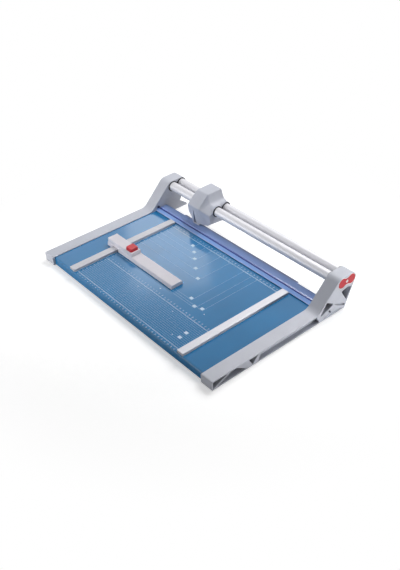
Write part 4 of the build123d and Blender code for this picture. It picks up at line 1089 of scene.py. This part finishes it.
@dataclass
class CuttingHead(SubAssembly):
    """The sliding head with its blade."""

    finishes: dict[str, Finish] = field(
        default_factory=lambda: {
            "head_housing": HEAD_GREY,
            "head_base": HEAD_GREY,
            "head_screws": ZINC_PLATE,
            "rail_bushes": WHITE_NYLON,
            "head_seals": SEAL_RUBBER,
            "press_shoe": SHOE_GREY,
            "blade_axle": KNIFE_STEEL,
            "blade_carrier": BLACK_PLASTIC,
            "spring_washer": SPRING_STEEL,
            "rotary_blade": BLADE_STEEL,
            "blade_hub": BLACK_PLASTIC,
        }
    )
    flat_angle: float = 0.8
    ridge_angle: float = 35.0
    ridge_foot: float = 102.0 * MM
    ridge_round: float = 2.4 * MM
    slack: float = 0.02 * MM
    ridge_steps: int = 4
    crease_angle: float = 32.0

    def ridges(self, bm: bmesh.types.BMesh) -> list[bmesh.types.BMEdge]:
        """Finds the two ridges beside the crown.

        Args:
            bm: The housing's mesh.

        Returns:
            Their edges.
        """
        crown = max(vertex.co.z for vertex in bm.verts)
        top = [vertex.co.y for vertex in bm.verts if vertex.co.z > crown - self.slack]
        sides = (min(top), max(top))
        found = []
        for edge in bm.edges:
            one, other = (vertex.co for vertex in edge.verts)
            away = min(max(abs(one.y - side), abs(other.y - side)) for side in sides)
            on_ridge = away < self.slack and min(one.z, other.z) > self.ridge_foot
            if on_ridge and edge.calc_face_angle_signed(0.0) > math.radians(self.ridge_angle):
                found.append(edge)
        return found

    def build(self) -> Iterable[bpy.types.Object]:
        """Builds the housing from its node's shape, with round ridges and smooth flanks.

        Yields:
            The hood, which stands for the housing.
        """
        sheet = Sheet()
        sheet.add_node("head_housing")
        bm = sheet.bm
        flat = math.radians(self.flat_angle)
        bmesh.ops.dissolve_limit(bm, angle_limit=flat, verts=bm.verts, edges=bm.edges)
        bmesh.ops.bevel(
            bm,
            geom=self.ridges(bm),
            offset=self.ridge_round,
            offset_type="OFFSET",
            affect="EDGES",
            segments=self.ridge_steps,
            profile=0.5,
            material=-1,
            clamp_overlap=False,
        )
        hood = sheet.piece("head_hood", HEAD_GREY, Body.HEAD)
        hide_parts("head_housing")
        hood.data.shade_smooth()
        hood.data.set_sharp_from_angle(angle=math.radians(self.crease_angle))
        level = hood.modifiers.new("level", "WEIGHTED_NORMAL")
        level.keep_sharp = True
        yield hood


@dataclass
class BackStop(SubAssembly):
    """The stop that runs along the far ruler, and its button."""

    finishes: dict[str, Finish] = field(
        default_factory=lambda: {
            "stop_body": STOP_GREY,
            "stop_floor": STOP_GREY,
            "lock_jaw": SPRING_STEEL,
            "button_spring": SPRING_STEEL,
            "stop_button": SIGNAL_RED,
        }
    )

    def build(self) -> Iterable[bpy.types.Object]:
        """Builds the leaf spring under the button."""
        yield Leaf("button_leaf", "button_spring", "button_press", Body.STOP).build()


@dataclass(frozen=True)
class Lamp:
    """A soft box."""

    name: str
    place: Triple
    aim: Triple
    size: Pair
    watts: float
    spread: float = 180.0

    def build(self) -> None:
        """Builds the lamp and turns it to what it is aimed at."""
        light = bpy.data.lights.new(self.name, "AREA")
        light.shape = "RECTANGLE"
        light.size, light.size_y = self.size
        light.energy = self.watts
        light.spread = math.radians(self.spread)
        lamp = bpy.data.objects.new(self.name, light)
        lamp.visible_camera = False
        lamp.location = self.place
        lamp.rotation_euler = (Vector(self.aim) - Vector(self.place)).to_track_quat("-Z", "Y").to_euler()
        bpy.context.scene.collection.objects.link(lamp)


@dataclass
class Studio:
    """The floor, the light and the camera."""

    lamps: tuple[Lamp, ...] = (
        Lamp("key", (1.08, 0.06, 1.64), (0.0, 0.0, 0.0), (1.2, 1.1), 32.0),
        Lamp("far beam", (-1.1, 0.6, 0.4), (0.06, 0.19, 0.065), (0.4, 0.4), 0.5, 38.0),
        Lamp("ground strip", (-1.5, -0.06, 0.03), (-0.2, -0.06, -0.008), (0.9, 0.04), 0.026, 5.0),
        Lamp("near beam", (0.96, -1.11, 0.18), (0.14, -0.29, 0.045), (0.3, 0.3), 0.36, 28.0),
        Lamp("back box", (0.98, 1.42, 1.08), (0.0, 0.03, 0.02), (0.38, 0.45), 0.75),
    )
    floor_half: float = 4.0
    floor_white: Colour = (0.76, 0.76, 0.76, 1.0)
    floor_rough: float = 0.9
    floor_glow: float = 0.46
    floor_fade: Pair = (0.34, 0.62)
    dome_white: Colour = (1.0, 1.0, 1.0, 1.0)
    dome_soft: Pair = (0.2, 0.16)
    dome_mirror: Pair = (1.1, 0.65)
    dome_edge: Pair = (0.56, 0.68)
    eye: Triple = (-0.86739, -1.09636, 1.03175)
    right: Triple = (0.7609, -0.6480, -0.0338)
    down: Triple = (-0.4093, -0.4389, -0.7999)
    ahead: Triple = (0.5035, 0.6225, -0.5992)
    focal_pixels: float = 786.0
    picture_height: float = 570.0
    sensor: float = 36.0

    def build_camera(self) -> None:
        """Builds the camera at the photograph's viewing angle."""
        lens = bpy.data.cameras.new("photo camera")
        lens.sensor_width = self.sensor
        lens.lens = self.focal_pixels * self.sensor / self.picture_height
        camera = bpy.data.objects.new("photo camera", lens)
        columns = Matrix((self.right, -Vector(self.down), -Vector(self.ahead))).transposed()
        camera.matrix_world = Matrix.Translation(self.eye) @ columns.to_4x4()
        bpy.context.scene.collection.objects.link(camera)
        bpy.context.scene.camera = camera

    def build_floor(self) -> None:
        """Builds the pale floor, which keeps the shadow near the part and fades to white round it."""
        bm = bmesh.new()
        bmesh.ops.create_grid(bm, x_segments=1, y_segments=1, size=self.floor_half)
        mesh = bpy.data.meshes.new("floor")
        bm.to_mesh(mesh)
        bm.free()
        floor = bpy.data.objects.new("floor", mesh)
        bpy.context.scene.collection.objects.link(floor)
        mesh.materials.append(self.floor_material())

    def floor_material(self) -> bpy.types.Material:
        """Makes the floor's material: a glow lifts what the camera sees, and all seen rays fade to white.

        Returns:
            The material.
        """
        sheet = NodeSheet("white floor")
        sheet.set(Base_Color=self.floor_white, Roughness=self.floor_rough, Specular_IOR_Level=0.0)
        seen = self.seen_rays(sheet.tree)
        glow = sheet.add("ShaderNodeEmission")
        strength = sheet.add("ShaderNodeMath", operation="MULTIPLY")
        strength.inputs[1].default_value = self.floor_glow
        sheet.join(sheet.add("ShaderNodeLightPath").outputs["Is Camera Ray"], strength.inputs[0])
        sheet.join(strength.outputs["Value"], glow.inputs["Strength"])
        lit = sheet.add("ShaderNodeAddShader")
        sheet.join(sheet.shader.outputs["BSDF"], lit.inputs[0])
        sheet.join(glow.outputs["Emission"], lit.inputs[1])
        reach = sheet.add("ShaderNodeVectorMath", operation="LENGTH")
        sheet.join(sheet.coordinates(), reach.inputs[0])
        fade = sheet.add("ShaderNodeMapRange", interpolation_type="SMOOTHSTEP")
        set_ends(fade, Side.READS, self.floor_fade)
        sheet.join(reach.outputs["Value"], fade.inputs["Value"])
        share = sheet.add("ShaderNodeMath", operation="MULTIPLY")
        sheet.join(fade.outputs["Result"], share.inputs[0])
        sheet.join(seen, share.inputs[1])
        white = sheet.add("ShaderNodeEmission")
        mixed = sheet.add("ShaderNodeMixShader")
        sheet.join(share.outputs["Value"], mixed.inputs["Fac"])
        sheet.join(lit.outputs["Shader"], mixed.inputs[1])
        sheet.join(white.outputs["Emission"], mixed.inputs[2])
        sheet.join(mixed.outputs["Shader"], sheet.tree.nodes["Material Output"].inputs["Surface"])
        return sheet.material

    @staticmethod
    def seen_rays(tree: bpy.types.NodeTree) -> bpy.types.NodeSocket:
        """Gives 1 for rays from the camera, from a mirror and through clear plastic.

        Args:
            tree: The node tree that takes the nodes.

        Returns:
            The socket.
        """
        path = tree.nodes.new("ShaderNodeLightPath")
        sums = path.outputs["Is Camera Ray"]
        for ray in ("Is Glossy Ray", "Is Transmission Ray"):
            total = tree.nodes.new("ShaderNodeMath")
            total.operation = "MAXIMUM"
            tree.links.new(sums, total.inputs[0])
            tree.links.new(path.outputs[ray], total.inputs[1])
            sums = total.outputs["Value"]
        return sums

    def build_dome(self) -> None:
        """Builds the studio's walls: white to the camera, bright low down and dimmer overhead."""
        world = bpy.data.worlds.new("studio")
        world.use_nodes = True
        bpy.context.scene.world = world
        tree = world.node_tree
        wall = tree.nodes["Background"]
        wall.inputs["Color"].default_value = self.dome_white
        path = tree.nodes.new("ShaderNodeLightPath")
        soft = self.wall_level(tree, self.dome_soft)
        mirror = self.wall_level(tree, self.dome_mirror)
        clear = self.choose(tree, self.seen_rays(tree), soft, mirror)
        white = self.choose(tree, path.outputs["Is Camera Ray"], clear, None)
        tree.links.new(white, wall.inputs["Strength"])

    def wall_level(self, tree: bpy.types.NodeTree, levels: Pair) -> bpy.types.NodeSocket:
        """Grades the walls by height.

        Args:
            tree: The node tree that takes the nodes.
            levels: The strength low down and overhead.

        Returns:
            The strength's socket.
        """
        source = tree.nodes.new("ShaderNodeTexCoord")
        axes = tree.nodes.new("ShaderNodeSeparateXYZ")
        spread = tree.nodes.new("ShaderNodeMapRange")
        spread.interpolation_type = "SMOOTHSTEP"
        set_ends(spread, Side.READS, self.dome_edge)
        set_ends(spread, Side.GIVES, levels)
        tree.links.new(source.outputs["Generated"], axes.inputs["Vector"])
        tree.links.new(axes.outputs["Z"], spread.inputs["Value"])
        return spread.outputs["Result"]

    @staticmethod
    def choose(
        tree: bpy.types.NodeTree,
        factor: bpy.types.NodeSocket,
        first: bpy.types.NodeSocket,
        second: bpy.types.NodeSocket | None,
    ) -> bpy.types.NodeSocket:
        """Chooses between two strengths.

        Args:
            tree: The node tree that takes the node.
            factor: 0 for the first and 1 for the second.
            first: The first strength.
            second: The second strength, or None for white.

        Returns:
            The chosen strength's socket.
        """
        white = 1.0
        mix = tree.nodes.new("ShaderNodeMix")
        mix.inputs["B"].default_value = white
        tree.links.new(factor, mix.inputs["Factor"])
        tree.links.new(first, mix.inputs["A"])
        if second is not None:
            tree.links.new(second, mix.inputs["B"])
        return mix.outputs["Result"]

    def build(self) -> None:
        """Builds the studio."""
        self.build_camera()
        self.build_floor()
        self.build_dome()
        for lamp in self.lamps:
            lamp.build()
        bpy.context.scene.view_settings.view_transform = "Standard"


def main() -> None:
    """Builds and dresses the sub-assemblies in order."""
    logging.basicConfig(level=logging.INFO, format="%(name)s: %(message)s")
    Studio().build()
    groups = (
        Table(),
        BoardPrint(),
        EndFrames(),
        GuideRails(),
        SquaringRulers(),
        PaperClamp(),
        CuttingHead(),
        BackStop(),
    )
    for group in groups:
        group.dress()
        made = list(group.build())
        LOG.info("%s: %d pieces added", type(group).__name__, len(made))


if __name__ == "__main__":
    main()
